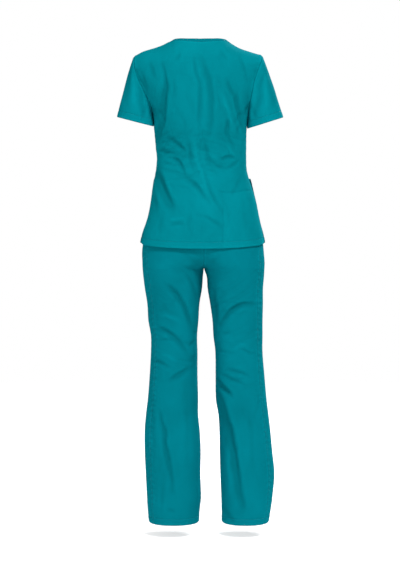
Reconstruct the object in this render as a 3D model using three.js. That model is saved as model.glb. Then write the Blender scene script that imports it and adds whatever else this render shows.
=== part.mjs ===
// A set of medical scrubs as worn: a short-sleeved V-neck top over trousers with flared legs.
// Millimetres, +X the left of the set as worn, +Y its back, +Z up. The origin is the middle of the
// shoulder line, where the set is held. Every piece of cloth is a thin curved wall.
import * as THREE from 'three';

// Cloth and seams
const CLOTH = 1.2; // thickness of one layer
const SEAM_GAP = 0.3; // between two pieces sewn edge to edge
const PATCH_LIFT = 0.3; // between a patch pocket and the panel under it

// Heights on the top
const TOP_HEM_SIDE = -625;
const TOP_HEM_DROP = 12; // how much lower the hem is at its middle
const VENT_TOP = -561;
const VENT_SPREAD = 7; // half of the opening of a side vent at the hem
const VENT_FLARE = 4; // how much wider the front stands than the back there
const POCKET_MOUTH = -428;
const POCKET_BOTTOM = -600;
const ARMPIT = -225;
const ARMHOLE_BELLY = -135; // where the armhole is at its widest from front to back
const SHOULDER_TIP = -50; // height of the shoulder seam at the armhole
const DOME_AT_TIP = 45; // height of the rounding over the shoulder, at the sleeve and at the neck
const DOME_AT_NECK = 82;
const DOME_START = 0.8; // share of a panel's rows that lie below the rounding

// Neckline: the half width and depth of the hole, at the band's inner and outer edges
const NECK = {
  inner: { halfWidth: 84, backDepth: 62, vPoint: -195 },
  outer: { halfWidth: 97, backDepth: 75, vPoint: -214 },
};
const V_CURVE = 0.92; // power of the V's sides: 1 is straight, less bows them outwards

// Heights on the trousers
const WAIST = -445;
const WAISTBAND_BOTTOM = -485;
const CROTCH = -710;
const LEG_HEM = -1498;
const SIDE_SEAM_AT_HIP = Math.PI / 9; // how far round to the back each side seam lies
const SIDE_SEAM_AT_LEG = Math.PI / 4.3;
const SIDE_SEAM_TURNS = [-560, -760]; // heights between which it turns from one to the other

const BODY_POWER = 2.3; // roundness of the sections: 2 is an ellipse, more is squarer
const LEG_POWER = 2.25;

// Outline of the top at each level: half widths to the left and right of the middle, and the share of
// the section's round that is left of the armhole's cut.
const TOP_WIDTHS = [
  { level: 40, left: 203, right: 192, cut: 0.8 },
  { level: -58, left: 203, right: 190, cut: 0.8 },
  { level: -85, left: 201, right: 180, cut: 0.8 },
  { level: -122, left: 189, right: 168, cut: 0.8 },
  { level: -163, left: 168, right: 159, cut: 0.84 },
  { level: -204, left: 150, right: 151, cut: 0.95 },
  { level: -225, left: 146, right: 150, cut: 1 },
  { level: -270, left: 142, right: 144, cut: 1 },
  { level: -335, left: 136, right: 143, cut: 1 },
  { level: -362, left: 133, right: 143, cut: 1 },
  { level: -400, left: 136.5, right: 145, cut: 1 },
  { level: -443, left: 145, right: 157, cut: 1 },
  { level: -493, left: 152, right: 173, cut: 1 },
  { level: -542, left: 161, right: 183, cut: 1 },
  { level: -592, left: 176, right: 194, cut: 1 },
  { level: -640, left: 184, right: 200, cut: 1 },
];

// Depth of each face of the top in front of or behind the side seams, and of the armhole's edge there
const BACK_DEPTHS = [
  { level: 40, depth: 93, armhole: 44 },
  { level: -60, depth: 99, armhole: 46 },
  { level: -120, depth: 105, armhole: 48 },
  { level: -200, depth: 106, armhole: 48 },
  { level: -270, depth: 99, armhole: 0 },
  { level: -360, depth: 86, armhole: 0 },
  { level: -440, depth: 95, armhole: 0 },
  { level: -540, depth: 117, armhole: 0 },
  { level: -640, depth: 127, armhole: 0 },
];
const FRONT_DEPTHS = [
  { level: 40, depth: 84, armhole: 38 },
  { level: -60, depth: 94, armhole: 42 },
  { level: -120, depth: 112, armhole: 46 },
  { level: -200, depth: 131, armhole: 48 },
  { level: -270, depth: 127, armhole: 0 },
  { level: -360, depth: 110, armhole: 0 },
  { level: -440, depth: 108, armhole: 0 },
  { level: -540, depth: 113, armhole: 0 },
  { level: -640, depth: 115, armhole: 0 },
];

// Line of the shoulder seams, carried on smoothly over the neck's hole
const SHOULDER_LINE = [
  { across: -215, height: -60 },
  { across: -191, height: -46.5 },
  { across: -180, height: -43 },
  { across: -161, height: -37 },
  { across: -124, height: -24 },
  { across: -105, height: -14 },
  { across: -87, height: -2 },
  { across: -75, height: 7 },
  { across: -50, height: 16 },
  { across: 0, height: 23 },
  { across: 50, height: 16 },
  { across: 75, height: 8 },
  { across: 87, height: 0 },
  { across: 99, height: -6 },
  { across: 117, height: -15 },
  { across: 136, height: -22 },
  { across: 155, height: -28 },
  { across: 174, height: -34 },
  { across: 192, height: -43 },
  { across: 203, height: -50 },
  { across: 215, height: -58 },
];

// Each sleeve's cuff: the outer and inner corners of its opening seen from behind, and its half depth
const CUFFS = {
  left: { outerX: 257, outerZ: -235, innerX: 144, innerZ: -264, halfDepth: 56, middleY: 4 },
  right: { outerX: -258, outerZ: -236, innerX: -146.5, innerZ: -271, halfDepth: 56, middleY: 4 },
};

// How a sleeve leaves the armhole and reaches its cuff: lengths of the curve's handles
const SLEEVE_HANDLES = {
  leaveAtTip: 7, // at the shoulder's tip the sleeve turns down at once
  leaveAtArmpit: 8,
  leaveAtSide: 32,
  arriveAtArmpit: 10,
  arriveAtTip: 70,
};

// Outline of the trousers at each level: the middle line, how far each leg reaches out from it and stays
// away from it inside, how far the two halves are one round (1) or two (0), and both depths.
const TROUSER_LEVELS = [
  { level: -430, middle: -5, leftOut: 135, rightOut: 135, leftIn: 0, rightIn: 0, joined: 1, back: 84, front: 94 },
  { level: -500, middle: -8, leftOut: 148, rightOut: 152, leftIn: 0, rightIn: 0, joined: 1, back: 96, front: 98 },
  { level: -560, middle: -10, leftOut: 166, rightOut: 168, leftIn: 0, rightIn: 0, joined: 1, back: 109, front: 103 },
  { level: -595, middle: -11, leftOut: 182, rightOut: 177, leftIn: 0, rightIn: 0, joined: 0.97, back: 113, front: 104 },
  { level: -626, middle: -12, leftOut: 189, rightOut: 183.5, leftIn: 0, rightIn: 0, joined: 0.82, back: 115, front: 104 },
  { level: -655, middle: -12, leftOut: 192, rightOut: 186.5, leftIn: 0, rightIn: 0, joined: 0.5, back: 115, front: 102 },
  { level: -685, middle: -12, leftOut: 191, rightOut: 189, leftIn: 0, rightIn: 0, joined: 0.18, back: 112, front: 100 },
  { level: -710, middle: -12, leftOut: 190, rightOut: 188, leftIn: 0, rightIn: 0, joined: 0, back: 107, front: 98 },
  { level: -730, middle: -12, leftOut: 188, rightOut: 187, leftIn: 4, rightIn: 11, joined: 0, back: 102, front: 97 },
  { level: -766, middle: -12, leftOut: 183.5, rightOut: 184, leftIn: 6, rightIn: 12, joined: 0, back: 94, front: 95 },
  { level: -815, middle: -14, leftOut: 178, rightOut: 182, leftIn: 16, rightIn: 18, joined: 0, back: 86, front: 90 },
  { level: -865, middle: -15, leftOut: 176, rightOut: 180, leftIn: 20, rightIn: 24, joined: 0, back: 79, front: 83 },
  { level: -914, middle: -16, leftOut: 169, rightOut: 179, leftIn: 25, rightIn: 26, joined: 0, back: 73, front: 77 },
  { level: -964, middle: -17, leftOut: 170, rightOut: 178, leftIn: 25, rightIn: 31, joined: 0, back: 72, front: 72 },
  { level: -1038, middle: -18, leftOut: 175, rightOut: 183, leftIn: 26, rightIn: 31, joined: 0, back: 76, front: 67 },
  { level: -1113, middle: -20, leftOut: 183, rightOut: 188, leftIn: 26, rightIn: 30, joined: 0, back: 79, front: 66 },
  { level: -1162, middle: -22, leftOut: 191, rightOut: 192, leftIn: 28, rightIn: 36, joined: 0, back: 80, front: 67 },
  { level: -1212, middle: -24, leftOut: 197, rightOut: 196, leftIn: 25, rightIn: 37, joined: 0, back: 81, front: 69 },
  { level: -1274, middle: -26, leftOut: 199, rightOut: 200, leftIn: 24, rightIn: 36, joined: 0, back: 82, front: 71 },
  { level: -1348, middle: -28, leftOut: 198, rightOut: 205, leftIn: 27, rightIn: 36, joined: 0, back: 84, front: 73 },
  { level: -1423, middle: -30, leftOut: 196, rightOut: 197, leftIn: 27, rightIn: 37, joined: 0, back: 85, front: 75 },
  { level: -1460, middle: -31, leftOut: 195, rightOut: 191, leftIn: 32, rightIn: 37, joined: 0, back: 85, front: 76 },
  { level: -1500, middle: -31, leftOut: 191, rightOut: 184, leftIn: 35, rightIn: 38, joined: 0, back: 85, front: 76 },
];

// Largest folds: where each starts, bends and ends (across, height), its half width, and its rise; a
// hollow has a rise below nought.
const TOP_BACK_FOLDS = [
  { from: [110, -81], bend: [98, -190], to: [130, -301], halfWidth: 20, rise: -5 },
  { from: [26, -74], bend: [8, -165], to: [8, -262], halfWidth: 17, rise: -3 },
  { from: [-6, -59], bend: [-52, -180], to: [-25, -301], halfWidth: 28, rise: -4 },
  { from: [-96, -152], bend: [-118, -215], to: [-134, -282], halfWidth: 20, rise: -4 },
  { from: [-62, -164], bend: [-76, -215], to: [-108, -285], halfWidth: 20, rise: 3 },
  { from: [132, -395], bend: [116, -455], to: [80, -512], halfWidth: 22, rise: -7 },
  { from: [40, -425], bend: [14, -442], to: [-26, -492], halfWidth: 22, rise: -4 },
  { from: [90, -356], bend: [58, -362], to: [46, -418], halfWidth: 17, rise: -3 },
  { from: [22, -307], bend: [6, -385], to: [-22, -456], halfWidth: 20, rise: 3 },
  { from: [-104, -358], bend: [-82, -372], to: [-58, -366], halfWidth: 16, rise: -4 },
];
const TOP_FRONT_FOLDS = [
  { from: [108, -228], bend: [92, -300], to: [78, -392], halfWidth: 22, rise: -5 },
  { from: [-106, -232], bend: [-96, -310], to: [-70, -400], halfWidth: 22, rise: -5 },
  { from: [30, -300], bend: [12, -380], to: [24, -470], halfWidth: 22, rise: -4 },
  { from: [-30, -330], bend: [-44, -420], to: [-26, -500], halfWidth: 20, rise: 3 },
  { from: [120, -80], bend: [112, -150], to: [126, -210], halfWidth: 20, rise: -4 },
  { from: [-118, -84], bend: [-110, -150], to: [-122, -205], halfWidth: 20, rise: -4 },
];
const TROUSER_BACK_FOLDS = [
  { from: [96, -750], bend: [52, -790], to: [23, -880], halfWidth: 26, rise: -5 },
  { from: [126, -886], bend: [84, -900], to: [40, -958], halfWidth: 24, rise: -5 },
  { from: [98, -1045], bend: [64, -1022], to: [30, -1014], halfWidth: 22, rise: -4 },
  { from: [124, -1145], bend: [104, -1250], to: [82, -1392], halfWidth: 22, rise: -6 },
  { from: [-62, -882], bend: [-100, -800], to: [-168, -806], halfWidth: 26, rise: -5 },
  { from: [-86, -1014], bend: [-118, -1014], to: [-156, -1036], halfWidth: 22, rise: -4 },
  { from: [-62, -1060], bend: [-104, -1240], to: [-130, -1440], halfWidth: 24, rise: -7 },
];
const TROUSER_FRONT_FOLDS = [
  { from: [120, -742], bend: [84, -748], to: [34, -726], halfWidth: 22, rise: -5 },
  { from: [-142, -744], bend: [-104, -752], to: [-56, -728], halfWidth: 22, rise: -5 },
  { from: [128, -930], bend: [86, -960], to: [40, -948], halfWidth: 24, rise: -5 },
  { from: [-74, -944], bend: [-112, -972], to: [-160, -950], halfWidth: 24, rise: -5 },
  { from: [96, -1080], bend: [100, -1230], to: [78, -1400], halfWidth: 24, rise: -6 },
  { from: [-104, -1090], bend: [-112, -1240], to: [-142, -1410], halfWidth: 24, rise: -6 },
];

// Colours of the three lots of cloth, as seen
const TOP_CLOTH = new THREE.MeshStandardMaterial({ color: 0x02889a, roughness: 0.85, metalness: 0 });
const TROUSER_CLOTH = new THREE.MeshStandardMaterial({ color: 0x027c8b, roughness: 0.85, metalness: 0 });
const BAND_CLOTH = new THREE.MeshStandardMaterial({ color: 0x01788a, roughness: 0.85, metalness: 0 });

function mix(a, b, share) {
  return a + (b - a) * share;
}

function clamp01(value) {
  return Math.min(1, Math.max(0, value));
}

// A smooth step from 0 to 1 as the value goes from start to end.
function ease(start, end, value) {
  const share = clamp01((value - start) / (end - start));
  return share * share * (3 - 2 * share);
}

// One column of a table at any place along its key, smooth through the rows.
function read(table, key, column, place) {
  const rising = table[0][key] < table[table.length - 1][key];
  const rows = rising ? table : [...table].reverse();
  if (place <= rows[0][key]) return rows[0][column];
  if (place >= rows[rows.length - 1][key]) return rows[rows.length - 1][column];
  const next = rows.findIndex((row) => row[key] > place);
  const slope = (low, high) => (rows[high][column] - rows[low][column]) / (rows[high][key] - rows[low][key]);
  const low = next - 1;
  const span = rows[next][key] - rows[low][key];
  const slopeLow = slope(Math.max(0, low - 1), next) * span;
  const slopeHigh = slope(low, Math.min(rows.length - 1, next + 1)) * span;
  const t = (place - rows[low][key]) / span;
  const rise = rows[next][column] - rows[low][column];
  return rows[low][column] + slopeLow * t + (3 * rise - 2 * slopeLow - slopeHigh) * t * t
    + (slopeLow + slopeHigh - 2 * rise) * t * t * t;
}

// Values from the first to the last, with the given number of equal steps between each pair.
function spaced(...stops) {
  const values = [stops[0]];
  for (let i = 1; i < stops.length; i += 2) {
    const start = values[values.length - 1];
    for (let step = 1; step <= stops[i]; step += 1) values.push(mix(start, stops[i + 1], step / stops[i]));
  }
  return values;
}

// How far the cloth is moved out by the folds of one face at a place on it.
function foldRise(folds, across, height) {
  const PIECES = 10;
  let rise = 0;
  for (const fold of folds) {
    let nearest = Infinity;
    let along = 0;
    for (let i = 0; i <= PIECES; i += 1) {
      const t = i / PIECES;
      const x = mix(mix(fold.from[0], fold.bend[0], t), mix(fold.bend[0], fold.to[0], t), t);
      const z = mix(mix(fold.from[1], fold.bend[1], t), mix(fold.bend[1], fold.to[1], t), t);
      const distance = Math.hypot(across - x, height - z);
      if (distance < nearest) {
        nearest = distance;
        along = t;
      }
    }
    const spread = nearest / fold.halfWidth;
    rise += fold.rise * Math.exp(-spread * spread) * Math.sqrt(Math.sin(Math.PI * mix(0.08, 0.92, along)));
  }
  return rise;
}

// The outer face of a piece as rows of points with their outward directions. pointAt(u, v) gives the
// plain face, normalAt(u, v) its direction, riseAt(point, u, v) the folds.
function clothGrid({ columns, rows, pointAt, normalAt, riseAt = () => 0 }) {
  return rows.map((v) => columns.map((u) => {
    const point = pointAt(u, v);
    const normal = (normalAt ?? ((a, b) => surfaceNormal(pointAt, a, b)))(u, v);
    return { normal, outer: point.addScaledVector(normal, riseAt(point, u, v)) };
  }));
}

function surfaceNormal(pointAt, u, v) {
  const STEP = 0.002;
  const alongU = pointAt(Math.min(1, u + STEP), v).sub(pointAt(Math.max(0, u - STEP), v));
  const alongV = pointAt(u, Math.min(1, v + STEP)).sub(pointAt(u, Math.max(0, v - STEP)));
  return alongU.cross(alongV).normalize();
}

// A closed thin wall behind a grid of points. A ring joins its last column to its first.
function wall(name, grid, material, { ring = false, lift = 0, thickness = CLOTH } = {}) {
  const rowCount = grid.length;
  const columnCount = grid[0].length;
  const positions = [];
  for (const offset of [lift, lift - thickness]) {
    for (const row of grid) {
      for (const { outer, normal } of row) {
        const p = outer.clone().addScaledVector(normal, offset);
        positions.push(p.x, p.y, p.z);
      }
    }
  }
  const layer = rowCount * columnCount;
  const id = (side, row, column) => side * layer + row * columnCount + (column % columnCount);
  const index = [];
  const quad = (a, b, c, d) => index.push(a, b, c, a, c, d);
  const spans = ring ? columnCount : columnCount - 1;
  for (let row = 0; row < rowCount - 1; row += 1) {
    for (let c = 0; c < spans; c += 1) {
      quad(id(0, row, c), id(0, row, c + 1), id(0, row + 1, c + 1), id(0, row + 1, c));
      quad(id(1, row, c), id(1, row + 1, c), id(1, row + 1, c + 1), id(1, row, c + 1));
    }
  }
  const last = rowCount - 1;
  for (let c = 0; c < spans; c += 1) {
    quad(id(0, 0, c), id(1, 0, c), id(1, 0, c + 1), id(0, 0, c + 1));
    quad(id(0, last, c), id(0, last, c + 1), id(1, last, c + 1), id(1, last, c));
  }
  if (!ring) {
    const end = columnCount - 1;
    for (let row = 0; row < last; row += 1) {
      quad(id(0, row, 0), id(0, row + 1, 0), id(1, row + 1, 0), id(1, row, 0));
      quad(id(0, row, end), id(1, row, end), id(1, row + 1, end), id(0, row + 1, end));
    }
  }
  const geometry = new THREE.BufferGeometry();
  geometry.setAttribute('position', new THREE.Float32BufferAttribute(positions, 3));
  geometry.setIndex(index);
  geometry.computeVertexNormals();
  const mesh = new THREE.Mesh(geometry, material);
  mesh.name = name;
  return mesh;
}

// The top's two faces. Columns run anticlockwise seen from above: the back from the left side to the
// right, the front from the right side to the left.
const BACK = { facing: 1, depths: BACK_DEPTHS, folds: TOP_BACK_FOLDS };
const FRONT = { facing: -1, depths: FRONT_DEPTHS, folds: TOP_FRONT_FOLDS };

function roundDepth(share, power) {
  return Math.pow(Math.max(0, 1 - Math.pow(Math.min(1, share), power)), 1 / power);
}

function cutAngle(cut) {
  return Math.acos(Math.pow(cut, BODY_POWER / 2));
}

// Share of the half width at a column, from 1 at its first edge to -1 at its last.
function shareAt(u, cut) {
  const start = cutAngle(cut);
  const angle = Math.cos(mix(start, Math.PI - start, u));
  return Math.sign(angle) * Math.pow(Math.abs(angle), 2 / BODY_POWER) / cut;
}

function columnAt(share, cut) {
  const start = cutAngle(cut);
  const angle = Math.acos(Math.sign(share) * Math.pow(Math.abs(share) * cut, BODY_POWER / 2));
  return (angle - start) / (Math.PI - 2 * start);
}

function armholeEdge(face, height) {
  if (height <= ARMPIT) return 0;
  const widest = read(face.depths, 'level', 'armhole', Math.max(height, ARMHOLE_BELLY));
  return widest * roundDepth(Math.max(0, (ARMHOLE_BELLY - height) / (ARMHOLE_BELLY - ARMPIT)), 2);
}

function cutAt(height) {
  return Math.min(1, read(TOP_WIDTHS, 'level', 'cut', height));
}

function halfWidth(across, height) {
  return read(TOP_WIDTHS, 'level', across > 0 ? 'left' : 'right', height);
}

// Depth of one face away from the side plane, before its rounding over the shoulder.
function faceDepth(face, across, height) {
  const cut = cutAt(height);
  const edge = armholeEdge(face, height);
  const cutDepth = roundDepth(cut, BODY_POWER);
  const share = (roundDepth(Math.abs(across) * cut, BODY_POWER) - cutDepth) / (1 - cutDepth);
  return edge + (read(face.depths, 'level', 'depth', height) - edge) * share;
}

function domeHeight(share) {
  return mix(DOME_AT_NECK, DOME_AT_TIP, Math.abs(share));
}

// How far a side vent stands open at a place on the top: nought above it, one at the hem's corner.
function ventShare(across, height) {
  return (1 - ease(TOP_HEM_SIDE, VENT_TOP, height)) * Math.pow(Math.abs(across), 6);
}

function topPoint(face, u, v) {
  const topCut = TOP_WIDTHS[0].cut;
  const topShare = face.facing * shareAt(u, topCut);
  const topAcross = topShare * halfWidth(topShare, TOP_WIDTHS[0].level);
  const ridge = read(SHOULDER_LINE, 'across', 'height', topAcross);
  const dome = domeHeight(topShare);
  const spring = ridge - dome;
  const turn = Math.max(0, (v - DOME_START) / (1 - DOME_START)) * Math.PI / 2;
  const hem = TOP_HEM_SIDE - TOP_HEM_DROP * (1 - topShare * topShare);
  const height = turn > 0 ? spring + dome * Math.sin(turn) : mix(hem, spring, v / DOME_START);
  const share = face.facing * shareAt(u, cutAt(height));
  const vent = ventShare(share, height);
  const depth = faceDepth(face, share, height) * Math.cos(turn) + SEAM_GAP / 2 + VENT_SPREAD * vent;
  const flare = face === FRONT ? VENT_FLARE * vent : 0;
  return new THREE.Vector3(share * (halfWidth(share, height) + flare), face.facing * depth, height);
}

// The share of the rows at which a column of a face ends: at the neckline, or at the shoulder seam.
function columnEnd(face, u, neck) {
  const isCloth = (v) => {
    const p = topPoint(face, u, v);
    const reach = Math.abs(p.x) / neck.halfWidth;
    if (reach >= 1) return true;
    if (face.facing > 0) return reach * reach + (p.y / neck.backDepth) ** 2 > 1;
    return p.z < neckFrontHeight(p.x, neck);
  };
  if (isCloth(1)) return 1;
  const HALVINGS = 30;
  let cloth = heightShare(ARMPIT) / 2;
  let open = 1;
  for (let i = 0; i < HALVINGS; i += 1) {
    const middle = (cloth + open) / 2;
    if (isCloth(middle)) cloth = middle;
    else open = middle;
  }
  return cloth;
}

function neckFrontHeight(across, neck) {
  const corner = read(SHOULDER_LINE, 'across', 'height', Math.sign(across) * neck.halfWidth);
  return mix(neck.vPoint, corner, Math.pow(Math.abs(across) / neck.halfWidth, V_CURVE));
}

// The share of a face's rows that lies below a height, at the side seam.
function heightShare(height) {
  return DOME_START * (height - TOP_HEM_SIDE) / (SHOULDER_TIP - DOME_AT_TIP - TOP_HEM_SIDE);
}

// One face of the top. Its rows are level up to the pockets' mouth and fan out to the neckline above it.
const FOLDS_FADE = 0.2; // share of a panel's columns over which folds die out towards its edges

function topFace(face, columns, rows) {
  const level = heightShare(POCKET_MOUTH);
  const pointAt = (u, v) => {
    const end = columnEnd(face, u, NECK.outer);
    return topPoint(face, u, v < level ? v : mix(level, end, (v - level) / (1 - level)));
  };
  const fade = (u) => Math.min(1, Math.min(u, 1 - u) / FOLDS_FADE);
  const riseAt = (point, u) => foldRise(face.folds, point.x, point.z) * fade(u);
  return clothGrid({ columns, rows, pointAt, riseAt });
}

// Columns that meet the neckline's corner, close together where it turns from the shoulder.
function neckColumn(side, share) {
  return columnAt(share * NECK.outer.halfWidth / TOP_WIDTHS[0][side], TOP_WIDTHS[0].cut);
}

function neckColumns(side, shares) {
  return shares.map((share) => neckColumn(side, share));
}

const BACK_CORNER = [1, 0.97, 0.88];
const FRONT_CORNER = [1, 0.99, 0.96, 0.9, 0.81];
const POCKET_SIDE_COLUMN = 0.02;
const POCKET_INNER_COLUMN = 0.43;

const topRows = spaced(
  0, 1, heightShare(POCKET_BOTTOM),
  2, heightShare(VENT_TOP),
  5, heightShare(POCKET_MOUTH),
  8, heightShare(ARMPIT),
  5, DOME_START,
  4, 1,
);

// The columns of half a face, from its side to its middle.
function halfColumns(side, corner, beforeCorner, afterCorner) {
  const atCorner = neckColumns(side, corner);
  return [
    ...spaced(...beforeCorner, atCorner[0]).slice(0, -1),
    ...atCorner.slice(0, -1),
    ...spaced(atCorner[atCorner.length - 1], ...afterCorner),
  ];
}

// Both halves of a face in one list, from its first edge to its last.
function faceColumns(first, last) {
  return [...first, ...last.slice(0, -1).reverse().map((u) => 1 - u)];
}

const backColumns = faceColumns(
  halfColumns('left', BACK_CORNER, [0, 8], [4, 0.5]),
  halfColumns('right', BACK_CORNER, [0, 8], [4, 0.5]),
);
const frontBefore = [0, 1, POCKET_SIDE_COLUMN, 4];
const frontAfter = [2, POCKET_INNER_COLUMN, 1, 0.5];
const frontColumns = faceColumns(
  halfColumns('right', FRONT_CORNER, frontBefore, frontAfter),
  halfColumns('left', FRONT_CORNER, frontBefore, frontAfter),
);
const backGrid = topFace(BACK, backColumns, topRows);
const frontGrid = topFace(FRONT, frontColumns, topRows);

// The neckband: a narrow band all round the neckline, in line with the faces, V-shaped in front.
function neckbandPoint(turn, width) {
  const angle = turn * 2 * Math.PI;
  const neck = {
    halfWidth: mix(NECK.outer.halfWidth - SEAM_GAP * 2, NECK.inner.halfWidth, width),
    backDepth: mix(NECK.outer.backDepth - SEAM_GAP, NECK.inner.backDepth, width),
    vPoint: mix(NECK.outer.vPoint + SEAM_GAP * 2.5, NECK.inner.vPoint, width),
  };
  const face = angle <= Math.PI ? BACK : FRONT;
  const x = neck.halfWidth * Math.cos(angle);
  const ridge = read(SHOULDER_LINE, 'across', 'height', x);
  const level = face === BACK ? 0 : Math.min(ridge, neckFrontHeight(x, neck));
  const share = x / halfWidth(x, level);
  const dome = domeHeight(share);
  const flat = faceDepth(face, share, level);
  if (face === BACK) {
    const depth = neck.backDepth * Math.sin(angle);
    const height = ridge - dome * (1 - Math.sqrt(Math.max(0, 1 - (depth / flat) ** 2)));
    return new THREE.Vector3(x, depth, height);
  }
  const climb = clamp01((level - (ridge - dome)) / dome);
  return new THREE.Vector3(x, -flat * Math.sqrt(1 - climb * climb), level);
}

// The band's columns meet the ends of the faces' columns round the neckline.
function neckbandTurns() {
  const turns = [];
  for (const [face, columns] of [[BACK, backColumns], [FRONT, frontColumns]]) {
    for (const u of columns) {
      const end = topPoint(face, u, columnEnd(face, u, NECK.outer));
      const reach = end.x / NECK.outer.halfWidth;
      const angle = Math.acos(Math.min(1, Math.max(-1, reach)));
      const corner = face === BACK ? reach < 1.001 && reach > -0.999 : reach > -1.001 && reach < 0.999;
      if (corner && Math.abs(reach) < 1.001) turns.push((face === BACK ? angle : 2 * Math.PI - angle) / (2 * Math.PI));
    }
  }
  return turns;
}

const neckbandGrid = clothGrid({
  columns: neckbandTurns(),
  rows: [0, 0.5, 1],
  pointAt: neckbandPoint,
});

// A sleeve: a short tube from the armhole's edge, rounded over at its head, down to the cuff.
const ARMPIT_SHARE = heightShare(ARMPIT);

// A point of the armhole's edge. On the left side turn 0 is the shoulder's tip and 0.5 the armpit, and on
// the right side the other way round, so that both run anticlockwise seen from above.
function armholePoint(side, turn) {
  const isBack = turn <= 0.5;
  const fromTip = side === 'left' ? Math.min(turn, 1 - turn) : Math.abs(0.5 - turn);
  const v = mix(1, ARMPIT_SHARE, 2 * fromTip);
  const face = isBack ? BACK : FRONT;
  const edge = topPoint(face, isBack === (side === 'left') ? 0 : 1, v);
  const atMiddle = fromTip < 1e-6 || fromTip > 0.5 - 1e-6;
  if (atMiddle) edge.y = 0;
  return { edge, facing: isBack ? 1 : -1, downward: 2 * fromTip };
}

function sleevePoint(side, turn, v) {
  const cuff = CUFFS[side];
  const sign = side === 'left' ? 1 : -1;
  const { edge, facing, downward } = armholePoint(side, turn);
  const aroundTop = Math.cos(Math.PI * downward);
  const aroundSide = Math.sin(Math.PI * downward);
  const middle = new THREE.Vector3((cuff.outerX + cuff.innerX) / 2, cuff.middleY, (cuff.outerZ + cuff.innerZ) / 2);
  const outward = new THREE.Vector3((cuff.outerX - cuff.innerX) / 2, 0, (cuff.outerZ - cuff.innerZ) / 2);
  const down = new THREE.Vector3(outward.z * sign, 0, -outward.x * sign).normalize();
  const end = middle.clone().addScaledVector(outward, aroundTop);
  end.y += facing * cuff.halfDepth * aroundSide;
  const leave = new THREE.Vector3(
    sign * (0.55 + 0.4 * aroundTop), // outwards most at the tip
    -facing * 0.25 * aroundSide, // inwards from front and back
    -0.8 + 0.5 * aroundTop, // downwards most at the armpit
  ).normalize();
  const start = edge.addScaledVector(leave, SEAM_GAP * 2);
  const handles = SLEEVE_HANDLES;
  const leaveLength = mix(
    mix(handles.leaveAtArmpit, handles.leaveAtSide, aroundSide),
    handles.leaveAtTip,
    clamp01(aroundTop),
  );
  const arriveLength = mix(handles.arriveAtArmpit, handles.arriveAtTip, (1 + aroundTop) / 2);
  const second = start.clone().addScaledVector(leave, leaveLength);
  const third = end.clone().addScaledVector(down, -arriveLength);
  const fromEdge = 1 - v;
  return new THREE.Vector3()
    .addScaledVector(start, v ** 3)
    .addScaledVector(second, 3 * v * v * fromEdge)
    .addScaledVector(third, 3 * v * fromEdge * fromEdge)
    .addScaledVector(end, fromEdge ** 3);
}

// The sleeve's columns meet the ends of the faces' rows round the armhole.
function sleeveTurns(side) {
  const halves = topRows
    .filter((v) => v > ARMPIT_SHARE - 1e-6)
    .map((v) => (1 - v) / (1 - ARMPIT_SHARE) / 2);
  const fromTip = [...halves, ...halves.slice(1, -1).map((turn) => 1 - turn)];
  return fromTip.map((turn) => (side === 'left' ? turn : (turn + 0.5) % 1)).sort((a, b) => a - b);
}

const SLEEVE_ROWS = 7;

function sleeveGrid(side) {
  const pointAt = (turn, v) => sleevePoint(side, ((turn % 1) + 1) % 1, v);
  const STEP = 0.004;
  const normalAt = (turn, v) => {
    const around = pointAt(turn + STEP, v).sub(pointAt(turn - STEP, v));
    const up = pointAt(turn, Math.min(1, v + STEP)).sub(pointAt(turn, Math.max(0, v - STEP)));
    return around.cross(up).normalize();
  };
  return clothGrid({ columns: sleeveTurns(side), rows: spaced(0, SLEEVE_ROWS, 1), pointAt, normalAt });
}

// The trousers. Each half runs from its side seam round to the inseam, or higher up to the middle seam.
function trouserLevel(side, height) {
  const value = (column) => read(TROUSER_LEVELS, 'level', column, height);
  const joined = height >= CROTCH ? clamp01(value('joined')) : 0;
  const out = value(`${side}Out`);
  const inner = height >= CROTCH ? -joined * out : Math.max(SEAM_GAP / 2, value(`${side}In`));
  return { middle: value('middle'), out, inner, joined, back: value('back'), front: value('front') };
}

// The angle at which one half of the trousers ends inside: a half turn on a leg, and less higher up, where
// the two halves meet at the middle seam.
function innerAngle(level, height) {
  const meeting = height > CROTCH ? (1 - level.joined) / (1 + level.joined) : 1;
  return Math.acos(-Math.pow(meeting, LEG_POWER / 2));
}

// A point on one half of the trousers at an angle round it: nought at its outer side, above nought behind.
// facing is 1 for the back panel's cloth and -1 for the front's.
function trouserPoint(side, facing, angle, height) {
  const sign = side === 'left' ? 1 : -1;
  const level = trouserLevel(side, height);
  const centre = (level.out + level.inner) / 2;
  const reach = (level.out - level.inner) / 2;
  const cosine = Math.cos(angle);
  const share = Math.sign(cosine) * Math.pow(Math.abs(cosine), 2 / LEG_POWER);
  const behind = angle >= 0 ? 1 : -1;
  const depth = behind > 0 ? level.back : level.front;
  const x = level.middle + sign * (centre + reach * share + SEAM_GAP / 2);
  const y = behind * depth * roundDepth(Math.abs(share), LEG_POWER) + facing * SEAM_GAP / 2;
  return new THREE.Vector3(x, y, height);
}

// The angle of a panel's point: turn 0 is its side seam and 1 its inner edge.
function panelAngle(side, facing, turn, height) {
  const [hip, knee] = SIDE_SEAM_TURNS;
  const seam = mix(SIDE_SEAM_AT_LEG, SIDE_SEAM_AT_HIP, ease(knee, hip, height));
  const clearance = SEAM_GAP / 2 / trouserLevel(side, height).back;
  return mix(seam + facing * clearance, facing * innerAngle(trouserLevel(side, height), height), turn);
}

const SIDE_FADE = 0.4; // folds die out where the cloth turns round the leg's sides

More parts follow.
